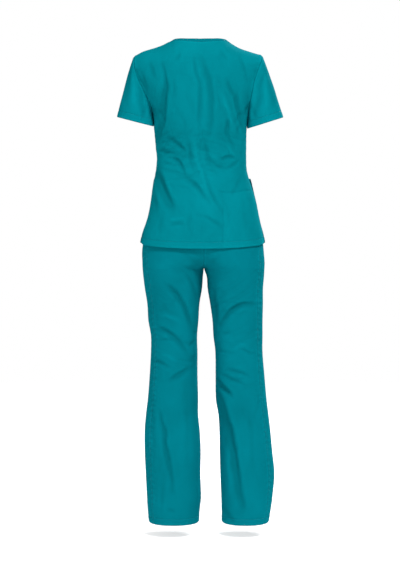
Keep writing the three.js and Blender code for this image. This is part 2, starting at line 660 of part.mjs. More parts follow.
function legGrid(side, facing, heights, turns) {
  const forward = (side === 'left') === (facing > 0);
  const turnOf = (u) => (forward ? u : 1 - u);
  const low = heights[0];
  const high = heights[heights.length - 1];
  return clothGrid({
    columns: forward ? turns : turns.map((turn) => 1 - turn).reverse(),
    rows: heights.map((height) => (height - low) / (high - low)),
    pointAt: (u, v) => {
      const height = mix(low, high, v);
      return trouserPoint(side, facing, panelAngle(side, facing, turnOf(u), height), height);
    },
    riseAt: (point, u) => {
      const angle = panelAngle(side, facing, turnOf(u), point.z);
      const folds = angle > 0 ? TROUSER_BACK_FOLDS : TROUSER_FRONT_FOLDS;
      return foldRise(folds, point.x, point.z) * Math.min(1, Math.abs(Math.sin(angle)) / SIDE_FADE);
    },
  });
}

const legHeights = spaced(LEG_HEM, 22, CROTCH, 9, WAISTBAND_BOTTOM);
const LEG_TURNS = { back: spaced(0, 8, 1), front: spaced(0, 12, 1) };

// The waistband: one ring over the top edges of the four leg panels.
function waistbandPoint(turn, v) {
  const height = mix(WAISTBAND_BOTTOM + SEAM_GAP, WAIST, v);
  const quarter = Math.floor(turn * 4) % 4;
  const within = turn * 4 - Math.floor(turn * 4);
  const side = quarter === 0 || quarter === 3 ? 'left' : 'right';
  const facing = quarter < 2 ? 1 : -1;
  const fromSide = quarter % 2 === 0 ? within : 1 - within;
  return trouserPoint(side, facing, facing * fromSide * Math.PI / 2, height);
}

const WAISTBAND_COLUMNS = 36;
const waistbandGrid = clothGrid({
  columns: spaced(0, WAISTBAND_COLUMNS, 1).slice(0, WAISTBAND_COLUMNS),
  rows: [0, 1],
  pointAt: waistbandPoint,
});

// A patch pocket: a block of cells of the panel that it lies on, moved out.
function patch(name, grid, material, columnRange, rowRange) {
  const cells = grid
    .slice(rowRange[0], rowRange[1] + 1)
    .map((row) => row.slice(columnRange[0], columnRange[1] + 1));
  return wall(name, cells, material, { lift: PATCH_LIFT + CLOTH });
}

function indexOf(values, wanted) {
  let best = 0;
  values.forEach((value, i) => {
    if (Math.abs(value - wanted) < Math.abs(values[best] - wanted)) best = i;
  });
  return best;
}

const scrubs = new THREE.Group();
const top = new THREE.Group();
const trousers = new THREE.Group();
scrubs.add(top, trousers);

top.add(wall('top_back', backGrid, TOP_CLOTH));
top.add(wall('top_front', frontGrid, TOP_CLOTH));
top.add(wall('neckband', neckbandGrid, BAND_CLOTH, { ring: true }));
for (const side of ['left', 'right']) {
  top.add(wall(`sleeve_${side}`, sleeveGrid(side), TOP_CLOTH, { ring: true }));
}
const pocketRows = [indexOf(topRows, heightShare(POCKET_BOTTOM)), indexOf(topRows, heightShare(POCKET_MOUTH))];
const pocketColumns = {
  right: [POCKET_SIDE_COLUMN, POCKET_INNER_COLUMN],
  left: [1 - POCKET_INNER_COLUMN, 1 - POCKET_SIDE_COLUMN],
};
for (const side of ['left', 'right']) {
  const range = pocketColumns[side].map((column) => indexOf(frontColumns, column));
  top.add(patch(`top_pocket_${side}`, frontGrid, TOP_CLOTH, range, pocketRows));
}

const legGrids = {};
for (const side of ['left', 'right']) {
  for (const [face, facing] of [['back', 1], ['front', -1]]) {
    const grid = legGrid(side, facing, legHeights, LEG_TURNS[face]);
    legGrids[`${side}_${face}`] = grid;
    trousers.add(wall(`leg_${side}_${face}`, grid, TROUSER_CLOTH));
  }
}
trousers.add(wall('waistband', waistbandGrid, TROUSER_CLOTH, { ring: true }));

// Back patch pocket on the right of the seat, under the top
const BACK_POCKET = { firstColumn: 2, lastColumn: 7, mouth: WAISTBAND_BOTTOM, bottom: -610 };
const backPocketRows = [indexOf(legHeights, BACK_POCKET.bottom), indexOf(legHeights, BACK_POCKET.mouth)];
const backPocketColumns = [BACK_POCKET.firstColumn, BACK_POCKET.lastColumn];
trousers.add(patch('trouser_pocket', legGrids.right_back, TROUSER_CLOTH, backPocketColumns, backPocketRows));

export default scrubs;
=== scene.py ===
from functools import partial

import bpy
import numpy as np
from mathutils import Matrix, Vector


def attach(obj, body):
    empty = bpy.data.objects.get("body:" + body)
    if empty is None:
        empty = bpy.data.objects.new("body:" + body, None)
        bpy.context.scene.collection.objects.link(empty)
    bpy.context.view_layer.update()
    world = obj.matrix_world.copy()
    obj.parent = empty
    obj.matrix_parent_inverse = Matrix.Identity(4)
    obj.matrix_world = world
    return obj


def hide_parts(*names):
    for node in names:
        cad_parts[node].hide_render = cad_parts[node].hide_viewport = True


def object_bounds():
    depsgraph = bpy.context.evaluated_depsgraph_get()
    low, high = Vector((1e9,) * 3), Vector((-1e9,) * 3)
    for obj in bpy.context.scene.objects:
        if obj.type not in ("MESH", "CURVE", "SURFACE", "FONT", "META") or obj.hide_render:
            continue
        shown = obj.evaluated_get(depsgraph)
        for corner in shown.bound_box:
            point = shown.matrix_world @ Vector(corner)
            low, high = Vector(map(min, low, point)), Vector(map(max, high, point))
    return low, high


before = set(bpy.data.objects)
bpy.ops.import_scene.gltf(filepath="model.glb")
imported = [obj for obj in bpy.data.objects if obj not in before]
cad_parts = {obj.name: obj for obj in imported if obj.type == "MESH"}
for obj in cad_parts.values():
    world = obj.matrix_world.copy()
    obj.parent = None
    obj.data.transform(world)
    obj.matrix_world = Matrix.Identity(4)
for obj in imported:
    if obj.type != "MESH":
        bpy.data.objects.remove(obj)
cad_box = [list(corner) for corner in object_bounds()]

# The studio's lengths are in metres. From the cloth on, lengths are in millimetres and become metres by MM.
# Both are in the CAD frame: +X the garment's left, +Y its back, +Z up.
MM = 0.001


# The studio. The set hangs upright with its hems just above a pale floor, seen square on from behind.
# Two large soft lamps stand behind the set and one in front, under an even white sky. The floor fades out
# at its rim, and its glow is seen by the camera alone and lights nothing.
EYE = Vector((0.0, 6.0, -0.338))
LOOK_AT = Vector((0.0, 0.0, -0.756))
LENS = 122.0
FILM = 36.0
FLOOR_BELOW_HEMS = 0.0397
FLOOR_RADIUS = 4.2
FLOOR_SIDES = 96
FLOOR_FADE = (0.45, 0.97)
FLOOR_COLOUR = (0.93, 0.93, 0.93, 1)
FLOOR_ROUGHNESS = 0.9
FLOOR_GLOW = 0.62
WHITE = (1, 1, 1, 1)
SKY_LIGHT = 0.285
LAMPS_POINT_AT = (0, 0, -0.7)
LAMPS = {
    "lamp_high_right": ((-1.7, 3.2, 4.0), 1.2, 205.0),
    "lamp_low_left": ((3.6, 3.6, 0.2), 2.0, 56.0),
    "lamp_front": ((-2.6, -4.2, 2.2), 1.8, 220.0),
}


def aim(thing, place, target):
    thing.location = place
    thing.rotation_euler = (Vector(target) - Vector(place)).to_track_quat("-Z", "Y").to_euler()


def add_object(name, data):
    made = bpy.data.objects.new(name, data)
    bpy.context.scene.collection.objects.link(made)
    return made


def add_camera():
    data = bpy.data.cameras.new("camera")
    data.lens = LENS
    data.sensor_width = FILM
    camera = add_object("camera", data)
    aim(camera, EYE, LOOK_AT)
    bpy.context.scene.camera = camera


def add_lamp(name, place, size, power):
    data = bpy.data.lights.new(name, "AREA")
    data.shape = "DISK"
    data.size = size
    data.energy = power
    aim(add_object(name, data), place, LAMPS_POINT_AT)


def feed(node, sockets):
    """Gives each named socket of a node its value, or links what feeds it."""
    for name, value in sockets.items():
        if isinstance(value, bpy.types.NodeSocket):
            node.id_data.links.new(value, node.inputs[name])
        else:
            node.inputs[name].default_value = value


def add_node(tree, kind, sockets=None, **settings):
    """A new shader node with its settings and its sockets fed. Gives its outputs."""
    node = tree.nodes.new(f"ShaderNode{kind}")
    for name, value in settings.items():
        setattr(node, name, value)
    feed(node, sockets or {})
    return node.outputs


def maths(tree, operation, *terms):
    return add_node(tree, "Math", dict(enumerate(terms)), operation=operation)["Value"]


def add_sky():
    world = bpy.data.worlds.new("sky")
    bpy.context.scene.world = world
    world.use_nodes = True
    tree = world.node_tree
    tree.nodes.clear()
    seen = add_node(tree, "Background", {"Color": WHITE})
    lighting = add_node(tree, "Background", {"Color": WHITE, "Strength": SKY_LIGHT})
    by_camera = add_node(tree, "LightPath")["Is Camera Ray"]
    either = add_node(tree, "MixShader", {"Fac": by_camera, 1: lighting["Background"], 2: seen["Background"]})
    add_node(tree, "OutputWorld", {"Surface": either["Shader"]})


def new_material(name):
    material = bpy.data.materials.new(name)
    material.use_nodes = True
    return material, material.node_tree, material.node_tree.nodes["Principled BSDF"]


def pale_floor():
    material, tree, shader = new_material("pale_floor")
    by_camera = add_node(tree, "LightPath")["Is Camera Ray"]
    place = add_node(tree, "TexCoord")["Object"]
    reach = add_node(tree, "VectorMath", {0: place}, operation="LENGTH")["Value"]
    fade_from, fade_to = (FLOOR_RADIUS * share for share in FLOOR_FADE)
    fade = {"Value": reach, "From Min": fade_from, "From Max": fade_to, "To Min": 1.0, "To Max": 0.0}
    feed(shader, {
        "Base Color": FLOOR_COLOUR,
        "Roughness": FLOOR_ROUGHNESS,
        "Emission Color": WHITE,
        "Emission Strength": maths(tree, "MULTIPLY", by_camera, FLOOR_GLOW),
        "Alpha": add_node(tree, "MapRange", fade)["Result"],
    })
    return material


def add_floor():
    place = (0, 0, cad_box[0][2] - FLOOR_BELOW_HEMS)
    bpy.ops.mesh.primitive_circle_add(
        vertices=FLOOR_SIDES, radius=FLOOR_RADIUS, fill_type="NGON", location=place
    )
    floor = bpy.context.object
    floor.name = "floor"
    floor.data.materials.append(pale_floor())


bpy.context.scene.view_settings.view_transform = "Standard"
add_camera()
for name, lamp in LAMPS.items():
    add_lamp(name, *lamp)
add_sky()
add_floor()


# The cloth. A polyester and cotton twill of medium weight, piece-dyed teal: matt, with a faint sheen,
# slightly lighter where seams and hems have been pressed, and with painted shade darkening its colour
# down in the hollows of its folds.
CLOTH = 1.1
DYES = {
    "top_cloth": (0.0004, 0.262, 0.320),
    # The neckband is the same twill, coloured darker as painted shade along the edge of the neck.
    "band_cloth": (0.0004, 0.196, 0.246),
    "trouser_cloth": (0.0004, 0.229, 0.289),
}
CREASE_LENGTHS = {"top_cloth": 0.05, "band_cloth": 0.05, "trouser_cloth": 0.06}
THREAD_DYE = (0.0008, 0.225, 0.285)
THREAD_ROUGHNESS = 0.5
SHEEN = {"Sheen Weight": 0.05, "Sheen Roughness": 0.45, "Sheen Tint": (0.0, 0.75, 0.85, 1)}
SHINE = 0.004
RIB_PITCH = 0.9
RIB_HEIGHT = 0.35
YARNS_TO_A_RIB = 2.0
YARN_HEIGHT = 0.15
PUCKER_PITCH = 9.0
PUCKER_STRETCH = (0.3, 1.0, 1.0)
CREASE_STRETCH = (0.8, 1.7, 1.0)
DRIFT_SIZE = 0.16
DRIFT_STRENGTH = 0.14
SLUBS_TO_A_METRE = 900.0
SLUB_STRENGTH = 0.16
PRESSED_STRENGTH = 0.10
# Painted shade: how much darker the colour is made down in the hollows of folds.
PAINTED_FOLD_SHADE_STRENGTH = -0.2
ROUGHNESS = (0.74, 0.12)


def new_group(name, inputs, outputs):
    """An empty node group. A socket is its name, its kind and, for an input, its value unless it is fed."""
    group = bpy.data.node_groups.new(name, "ShaderNodeTree")
    for socket, kind, *value in inputs:
        made = group.interface.new_socket(socket, in_out="INPUT", socket_type=f"NodeSocket{kind}")
        if value:
            made.default_value = value[0]
    for socket, kind in outputs:
        group.interface.new_socket(socket, in_out="OUTPUT", socket_type=f"NodeSocket{kind}")
    return group, group.nodes.new("NodeGroupInput").outputs, group.nodes.new("NodeGroupOutput")


def noise_on(tree, place, scale, detail, distortion=0.0, **settings):
    sockets = {"Vector": place, "Scale": scale, "Detail": detail, "Distortion": distortion}
    return add_node(tree, "TexNoise", sockets, **settings)["Fac"]


def stretched(tree, place, factors):
    return add_node(tree, "VectorMath", {0: place, 1: factors}, operation="MULTIPLY")["Vector"]


def about_zero(tree, level, strength):
    """A level from 0 to 1 moved to lie about 0, times its strength."""
    return maths(tree, "MULTIPLY", maths(tree, "SUBTRACT", level, 0.5), strength)


def twill_weave_group():
    """Slanting ribs crossed by finer yarns, as a height from 0 to 1."""
    inputs = [("Place", "Vector"), ("Rib Pitch", "Float", RIB_PITCH * MM)]
    group, given, made = new_group("twill_weave", inputs, [("Height", "Float")])
    split = add_node(group, "SeparateXYZ", {"Vector": given["Place"]})
    turns = maths(group, "DIVIDE", 2 * np.pi, given["Rib Pitch"])
    slant = maths(group, "ADD", split["X"], split["Y"])
    rib = maths(group, "SINE", maths(group, "MULTIPLY", slant, turns))
    across = maths(group, "MULTIPLY", split["X"], YARNS_TO_A_RIB)
    yarn = maths(group, "SINE", maths(group, "MULTIPLY", across, turns))
    ribs = maths(group, "MULTIPLY", rib, RIB_HEIGHT)
    yarns = maths(group, "MULTIPLY", yarn, YARN_HEIGHT)
    feed(made, {"Height": maths(group, "ADD", maths(group, "ADD", ribs, yarns), 0.5)})
    return group


def dye_wear_and_painted_shade_group():
    """The dye's colour as it varies over the cloth, lighter at pressed edges and darkened by painted shade in
    the hollows of folds, and how rough the cloth is there.
    """
    inputs = [
        ("Place", "Vector"),
        ("Dye", "Color", (0.5, 0.5, 0.5, 1)),
        ("Hollow", "Float", 0.0),
        ("Pressed Edge", "Float", 0.0),
        ("Drift Size", "Float", DRIFT_SIZE),
    ]
    group, given, made = new_group("dye_wear_and_painted_shade", inputs, [("Colour", "Color"), ("Roughness", "Float")])
    drift = noise_on(group, given["Place"], maths(group, "DIVIDE", 1.0, given["Drift Size"]), 3.0)
    slub = noise_on(group, given["Place"], SLUBS_TO_A_METRE, 1.0)
    soft = about_zero(group, drift, DRIFT_STRENGTH)
    fine = about_zero(group, slub, SLUB_STRENGTH)
    edge = maths(group, "MULTIPLY", given["Pressed Edge"], PRESSED_STRENGTH)
    # Painted shade: the colour darkened where the cloth lies deep in a fold.
    painted_fold_shade = maths(group, "MULTIPLY", given["Hollow"], PAINTED_FOLD_SHADE_STRENGTH)
    total = maths(group, "ADD", maths(group, "ADD", soft, fine), maths(group, "ADD", edge, painted_fold_shade))
    value = {"Value": maths(group, "ADD", total, 1.0), "Color": given["Dye"]}
    least, more = ROUGHNESS
    feed(made, {
        "Colour": add_node(group, "HueSaturation", value)["Color"],
        "Roughness": maths(group, "ADD", maths(group, "MULTIPLY", drift, more), least),
    })
    return group


def wear_creases_group():
    """Small soft wrinkles left by wearing and washing, as a height about 0."""
    inputs = [("Place", "Vector"), ("Length", "Float", 0.05)]
    group, given, made = new_group("wear_creases", inputs, [("Height", "Float")])
    place = stretched(group, given["Place"], CREASE_STRETCH)
    to_a_metre = maths(group, "DIVIDE", 1.0, given["Length"])
    feed(made, {"Height": noise_on(group, place, to_a_metre, 3.0, 0.9, noise_type="RIDGED_MULTIFRACTAL")})
    return group


def seam_puckers_group():
    """Fine ripples that run out from a seam where its stitching pulls the cloth, as a height about 0."""
    inputs = [("Place", "Vector"), ("Pull", "Float", 0.0), ("Pitch", "Float", PUCKER_PITCH * MM)]
    group, given, made = new_group("seam_puckers", inputs, [("Height", "Float")])
    place = stretched(group, given["Place"], PUCKER_STRETCH)
    ripples = noise_on(group, place, maths(group, "DIVIDE", 1.0, given["Pitch"]), 1.0, 0.3)
    feed(made, {"Height": about_zero(group, ripples, given["Pull"])})
    return group


DYE_WEAR_AND_PAINTED_SHADE = dye_wear_and_painted_shade_group()
TWILL_WEAVE = twill_weave_group()
WEAR_CREASES = wear_creases_group()
SEAM_PUCKERS = seam_puckers_group()
BUMPS = {"creases": (1.1, 0.9), "puckers": (3.2, 1.0), "weave": (0.06, 0.5)}


def place_group(tree, group, sockets):
    return add_node(tree, "Group", sockets, node_tree=group)


def twill(slot):
    """A twill of one dye: its weave, its small wrinkles, its drawn seams, its drift of colour and the shade
    painted into the hollows of its folds.
    """
    material, tree, shader = new_material(slot.replace("cloth", "twill"))
    place = add_node(tree, "UVMap", uv_map="cut")["UV"]
    # The first attribute carries painted shade: how deep each point lies in a fold.
    painted_fold_shade, edge, pull = (
        add_node(tree, "Attribute", attribute_name=name)["Fac"] for name in ("painted_fold_shade", "pressed_edge", "pull")
    )
    dye = {"Place": place, "Dye": (*DYES[slot], 1), "Hollow": painted_fold_shade, "Pressed Edge": edge}
    dyed = place_group(tree, DYE_WEAR_AND_PAINTED_SHADE, dye)
    heights = {
        "creases": place_group(tree, WEAR_CREASES, {"Place": place, "Length": CREASE_LENGTHS[slot]}),
        "puckers": place_group(tree, SEAM_PUCKERS, {"Place": place, "Pull": pull}),
        "weave": place_group(tree, TWILL_WEAVE, {"Place": place, "Rib Pitch": RIB_PITCH * MM}),
    }
    below = {}
    for effect, (distance, strength) in BUMPS.items():
        bump = {"Height": heights[effect]["Height"], "Distance": distance * MM, "Strength": strength}
        below = {"Normal": add_node(tree, "Bump", bump | below)["Normal"]}
    colour = {"Base Color": dyed["Colour"], "Roughness": dyed["Roughness"]}
    feed(shader, colour | below | SHEEN | {"Specular IOR Level": SHINE})
    return material


def thread():
    material, _, shader = new_material("thread")
    feed(shader, {"Base Color": (*THREAD_DYE, 1), "Roughness": THREAD_ROUGHNESS})
    return material


TWILLS = {slot: twill(slot) for slot in DYES}
THREAD = thread()


# The back of the top. One panel of twill from hem to shoulder seams, sewn to the front at the sides down to
# the vents, to the sleeves round the armholes and to the neckband. Its hem is turned up and stitched.
SEAM_GAP = 0.3
TOP_HEM_SIDE = -625
TOP_HEM_DROP = 12
HEM_TURN = 20
VENT_TOP = -561
VENT_SPREAD = 7
VENT_FLARE = 4
POCKET_MOUTH = -428
POCKET_BOTTOM = -600
ARMPIT = -225
ARMHOLE_BELLY = -135
SHOULDER_TIP = -50
DOME_AT_TIP = 45
DOME_AT_NECK = 82
DOME_START = 0.8
SHOULDER_LEVEL = 40
SHOULDER_CUT = 0.8
VENT_POWER = 6
BODY_POWER = 2.3
BODY_PITCH = 3.6


def table(columns, *rows):
    """Rows of numbers under named columns, in the order of the first column."""
    return dict(zip(columns.split(), np.array(sorted(rows), float).T))


def read(rows, column, place):
    """One column of a table at any place along its first column, smooth through the rows."""
    keys = next(iter(rows.values()))
    values = rows[column]
    index = np.arange(len(keys))
    after = np.minimum(index + 1, index[-1])
    before = np.maximum(index - 1, 0)
    slopes = (values[after] - values[before]) / (keys[after] - keys[before])
    place = np.clip(place, keys[0], keys[-1])
    low = np.clip(np.searchsorted(keys, place, side="right") - 1, 0, len(keys) - 2)
    span = keys[low + 1] - keys[low]
    t = (place - keys[low]) / span
    rise = values[low + 1] - values[low]
    start = slopes[low] * span
    end = slopes[low + 1] * span
    return values[low] + start * t + (3 * rise - 2 * start - end) * t**2 + (start + end - 2 * rise) * t**3


TOP_WIDTHS = table(
    "level left right cut",
    (SHOULDER_LEVEL, 203, 192, SHOULDER_CUT), (-58, 203, 190, 0.8), (-85, 201, 180, 0.8),
    (-122, 189, 168, 0.8), (-163, 168, 159, 0.84), (-204, 150, 151, 0.95), (-225, 146, 150, 1),
    (-270, 142, 144, 1),
    (-335, 136, 143, 1), (-362, 133, 143, 1), (-400, 136.5, 145, 1), (-443, 145, 157, 1),
    (-493, 152, 173, 1), (-542, 161, 183, 1), (-592, 176, 194, 1), (-640, 184, 200, 1),
)
BACK_DEPTHS = table(
    "level depth armhole",
    (40, 93, 44), (-60, 99, 46), (-120, 105, 48), (-200, 106, 48), (-270, 99, 0),
    (-360, 86, 0), (-440, 95, 0), (-540, 117, 0), (-640, 127, 0),
)
FRONT_DEPTHS = table(
    "level depth armhole",
    (40, 84, 38), (-60, 94, 42), (-120, 112, 46), (-200, 131, 48), (-270, 127, 0),
    (-360, 110, 0), (-440, 108, 0), (-540, 113, 0), (-640, 115, 0),
)
SHOULDER_LINE = table(
    "across height",
    (-215, -60), (-191, -46.5), (-180, -43), (-161, -37), (-124, -24), (-105, -14), (-87, -2),
    (-75, 7), (-50, 16), (0, 23), (50, 16), (75, 8), (87, 0), (99, -6), (117, -15), (136, -22),
    (155, -28), (174, -34), (192, -43), (203, -50), (215, -58),
)
NECK_OUTER = {"half_width": 97, "back_depth": 75, "v_point": -214}
NECK_INNER = {"half_width": 84, "back_depth": 62, "v_point": -195}
V_CURVE = 0.92


def mix(a, b, share):
    return a + (b - a) * share


def ease(start, end, value):
    """A smooth step from 0 to 1 as the value goes from start to end."""
    share = np.clip((value - start) / (end - start), 0, 1)
    return share * share * (3 - 2 * share)


def bump_at(distance, width):
    return np.exp(-((distance / width) ** 2))


def round_depth(share, power):
    return (1 - np.clip(np.abs(share), 0, 1) ** power) ** (1 / power)


def cut_at(height):
    return np.minimum(1, read(TOP_WIDTHS, "cut", height))


def cut_angle(cut):
    return np.arccos(cut ** (BODY_POWER / 2))


def share_at(u, cut):
    """Share of the half width at a column, from 1 at a face's first edge to -1 at its last."""
    start = cut_angle(cut)
    cosine = np.cos(mix(start, np.pi - start, u))
    return np.sign(cosine) * np.abs(cosine) ** (2 / BODY_POWER) / cut


def column_at(share, cut):
    start = cut_angle(cut)
    angle = np.arccos(np.sign(share) * (np.abs(share) * cut) ** (BODY_POWER / 2))
    return (angle - start) / (np.pi - 2 * start)


def half_width(across, height):
    left = read(TOP_WIDTHS, "left", height)
    right = read(TOP_WIDTHS, "right", height)
    return np.where(across > 0, left, right)


def armhole_edge(depths, height):
    widest = read(depths, "armhole", np.maximum(height, ARMHOLE_BELLY))
    below = np.maximum(0, (ARMHOLE_BELLY - height) / (ARMHOLE_BELLY - ARMPIT))
    return np.where(height <= ARMPIT, 0, widest * round_depth(below, 2))


def face_depth(facing, across, height):
    """How far a face lies in front of or behind the side seams, before it rounds over the shoulder."""
    depths = BACK_DEPTHS if facing > 0 else FRONT_DEPTHS
    cut = cut_at(height)
    edge = armhole_edge(depths, height)
    cut_depth = round_depth(cut, BODY_POWER)
    share = (round_depth(np.abs(across) * cut, BODY_POWER) - cut_depth) / (1 - cut_depth)
    return edge + (read(depths, "depth", height) - edge) * share


def dome_height(share):
    return mix(DOME_AT_NECK, DOME_AT_TIP, np.abs(share))


def vent_share(across, height):
    return (1 - ease(TOP_HEM_SIDE, VENT_TOP, height)) * np.abs(across) ** VENT_POWER


def spread(u, v):
    return np.broadcast_arrays(np.asarray(u, float), np.asarray(v, float))


def top_point(facing, u, v):
    """A point of a face of the top: the back runs from left to right as u grows, the front back again."""
    u, v = spread(u, v)
    top_share = facing * share_at(u, SHOULDER_CUT)
    ridge = read(SHOULDER_LINE, "height", top_share * half_width(top_share, SHOULDER_LEVEL))
    dome = dome_height(top_share)
    turn = np.maximum(0, (v - DOME_START) / (1 - DOME_START)) * np.pi / 2
    hem = TOP_HEM_SIDE - TOP_HEM_DROP * (1 - top_share**2)
    wall = mix(hem, ridge - dome, v / DOME_START)
    height = np.where(turn > 0, ridge - dome * (1 - np.sin(turn)), wall)
    share = facing * share_at(u, cut_at(height))
    vent = vent_share(share, height)
    depth = face_depth(facing, share, height) * np.cos(turn) + SEAM_GAP / 2 + VENT_SPREAD * vent
    flare = VENT_FLARE * vent if facing < 0 else 0
    return np.stack([share * (half_width(share, height) + flare), facing * depth, height], axis=-1)


def height_share(height):
    return DOME_START * (height - TOP_HEM_SIDE) / (SHOULDER_TIP - DOME_AT_TIP - TOP_HEM_SIDE)


def neck_front_height(across, neck):
    corner = read(SHOULDER_LINE, "height", np.sign(across) * neck["half_width"])
    return mix(neck["v_point"], corner, (np.abs(across) / neck["half_width"]) ** V_CURVE)


def is_cloth(facing, u, v, neck):
    """Whether a place on a face lies outside the hole of the neck."""
    x, y, z = np.moveaxis(top_point(facing, u, v), -1, 0)
    reach = np.abs(x) / neck["half_width"]
    if facing > 0:
        return (reach >= 1) | (reach**2 + (y / neck["back_depth"]) ** 2 > 1)
    return (reach >= 1) | (z < neck_front_height(x, neck))


HALVINGS = 26


def column_end(facing, u, neck):
    """The share of the rows at which a column ends: at the neckline, or at the shoulder seam."""
    cloth = np.full_like(u, height_share(ARMPIT) / 2)
    hole = np.ones_like(u)
    for _ in range(HALVINGS):
        middle = (cloth + hole) / 2
        outside = is_cloth(facing, u, middle, neck)
        cloth = np.where(outside, middle, cloth)
        hole = np.where(outside, hole, middle)
    return np.where(is_cloth(facing, u, np.ones_like(u), neck), 1.0, cloth)


def face_point(facing, u, v):
    """A point of a face with its rows level up to the pockets and fanned out to the neckline above."""
    u, v = spread(u, v)
    level = height_share(POCKET_MOUTH)
    end = column_end(facing, u, NECK_OUTER)
    return top_point(facing, u, np.where(v < level, v, mix(level, end, (v - level) / (1 - level))))


def arc_lengths(points, axis):
    """How far each point of a grid lies along its row or column."""
    steps = np.linalg.norm(np.diff(points, axis=axis), axis=-1)
    start = np.zeros_like(np.take(steps, [0], axis=axis))
    return np.concatenate([start, np.cumsum(steps, axis=axis)], axis=axis)


EDGE_ROOM = 0.45
NOTHING = 1e-6


def stops(length, near_start, near_end, count):
    """Distances along a line, close together at its ends and even between them."""
    start, end = (
        np.array(steps) * min(1, EDGE_ROOM * length / max(steps[-1], NOTHING))
        for steps in (near_start, near_end)
    )
    middle = np.linspace(start[-1], length - end[-1], count + 2)[1:-1]
    return np.concatenate([start, middle, (length - end)[::-1]])


EDGE_STITCH = 1.9
TOPSTITCH = 6.2
SEAM_STEPS = (0, 0.5, 1.1, EDGE_STITCH, 3.0, 4.4, 5.4, TOPSTITCH, 7.0, 8.2, 10.2, 13)
HEM_STEPS = (0, 0.5, 1.4, 3, 6, 10, 14, 17, 18.6, 19.4, HEM_TURN, 20.6, 21.4, 23, 26)
CORNER_STEPS = (0, 0.8, 2, 4)
PLAIN_STEPS = (0, 1.2)
EDGE_STITCH_STEP = SEAM_STEPS.index(EDGE_STITCH)
TOPSTITCH_STEP = SEAM_STEPS.index(TOPSTITCH)
HEM_STITCH_STEP = HEM_STEPS.index(HEM_TURN)
DENSE_COLUMNS = 140
DENSE_ROWS = 161


def rows_at(arcs, dense, steps):
    """The rows of each column of a grid, at true distances from its two ends."""
    return np.array([np.interp(stops(column[-1], *steps), column, dense) for column in arcs.T]).T


def lay_out(point_at, anchors, column_steps, row_steps):
    """A grid over a piece with its edge rows and columns at true distances from the edges."""
    dense = np.linspace(0, 1, DENSE_ROWS)
    columns = []
    for (start, end), steps in zip(zip(anchors, anchors[1:]), column_steps):
        across = np.linspace(start, end, DENSE_COLUMNS)
        arcs = arc_lengths(point_at(across[None, :], dense[:, None]), 1)
        found = np.array([np.interp(stops(row[-1], *steps), row, across) for row in arcs])
        columns.append(found if not columns else found[:, 1:])
    u = np.concatenate(columns, axis=1)
    v = rows_at(arc_lengths(point_at(u, dense[:, None]), 0), dense, row_steps)
    u = np.array([np.interp(v[:, k], dense, u[:, k]) for k in range(u.shape[1])]).T
    return measured(point_at(u, v), u, v)


def measured(points, u, v, ring=False):
    """A piece's grid with the distance of each point from each edge."""
    across = arc_lengths(points, 1)
    along = arc_lengths(points, 0)
    centre = across.shape[1] // 2
    return {
        "points": points, "u": u, "v": v, "ring": ring,
        "first": across, "last": across[:, -1:] - across,
        "bottom": along, "top": along[-1:] - along,
        "across": across - across[:, centre : centre + 1], "along": along,
    }


def unit(vectors):
    return vectors / np.maximum(np.linalg.norm(vectors, axis=-1, keepdims=True), NOTHING)


def normals_of(points, ring):
    if ring:
        wrapped = np.concatenate([points[:, -1:], points, points[:, :1]], axis=1)
        along_u = wrapped[:, 2:] - wrapped[:, :-2]
    else:
        along_u = np.gradient(points, axis=1)
    return unit(np.cross(along_u, np.gradient(points, axis=0)))


LATTICE = 64
LATTICE_START = (31.3, 17.7)


def soft_noise(x, z, cell, seed):
    """Smooth hills about 0, one cell apart."""
    lattice = np.random.default_rng(seed).uniform(-1, 1, (LATTICE, LATTICE))
    column, row = ((place / cell + start) % (LATTICE - 1) for place, start in zip((x, z), LATTICE_START))
    i, j = column.astype(int), row.astype(int)
    s, t = ease(0, 1, column - i), ease(0, 1, row - j)
    low = mix(lattice[j, i], lattice[j, i + 1], s)
    high = mix(lattice[j + 1, i], lattice[j + 1, i + 1], s)
    return mix(low, high, t)


FOLD_STEPS = 40
FOLD_WANDER = 4.5
FOLD_WANDER_CELL = 38
FOLD_WANDER_SEEDS = (91, 92)
FOLD_REACH = 3.6
FOLD_ROUNDING = 0.28
FOLD_FALL = (1.25, 1.35)
FOLD_LEAN_WIDTH = 0.4
FOLD_TAPER = (0.04, 0.96, 0.8)
FOLD_LIP = {"rise": 0.16, "place": 2.0, "width": 0.8}


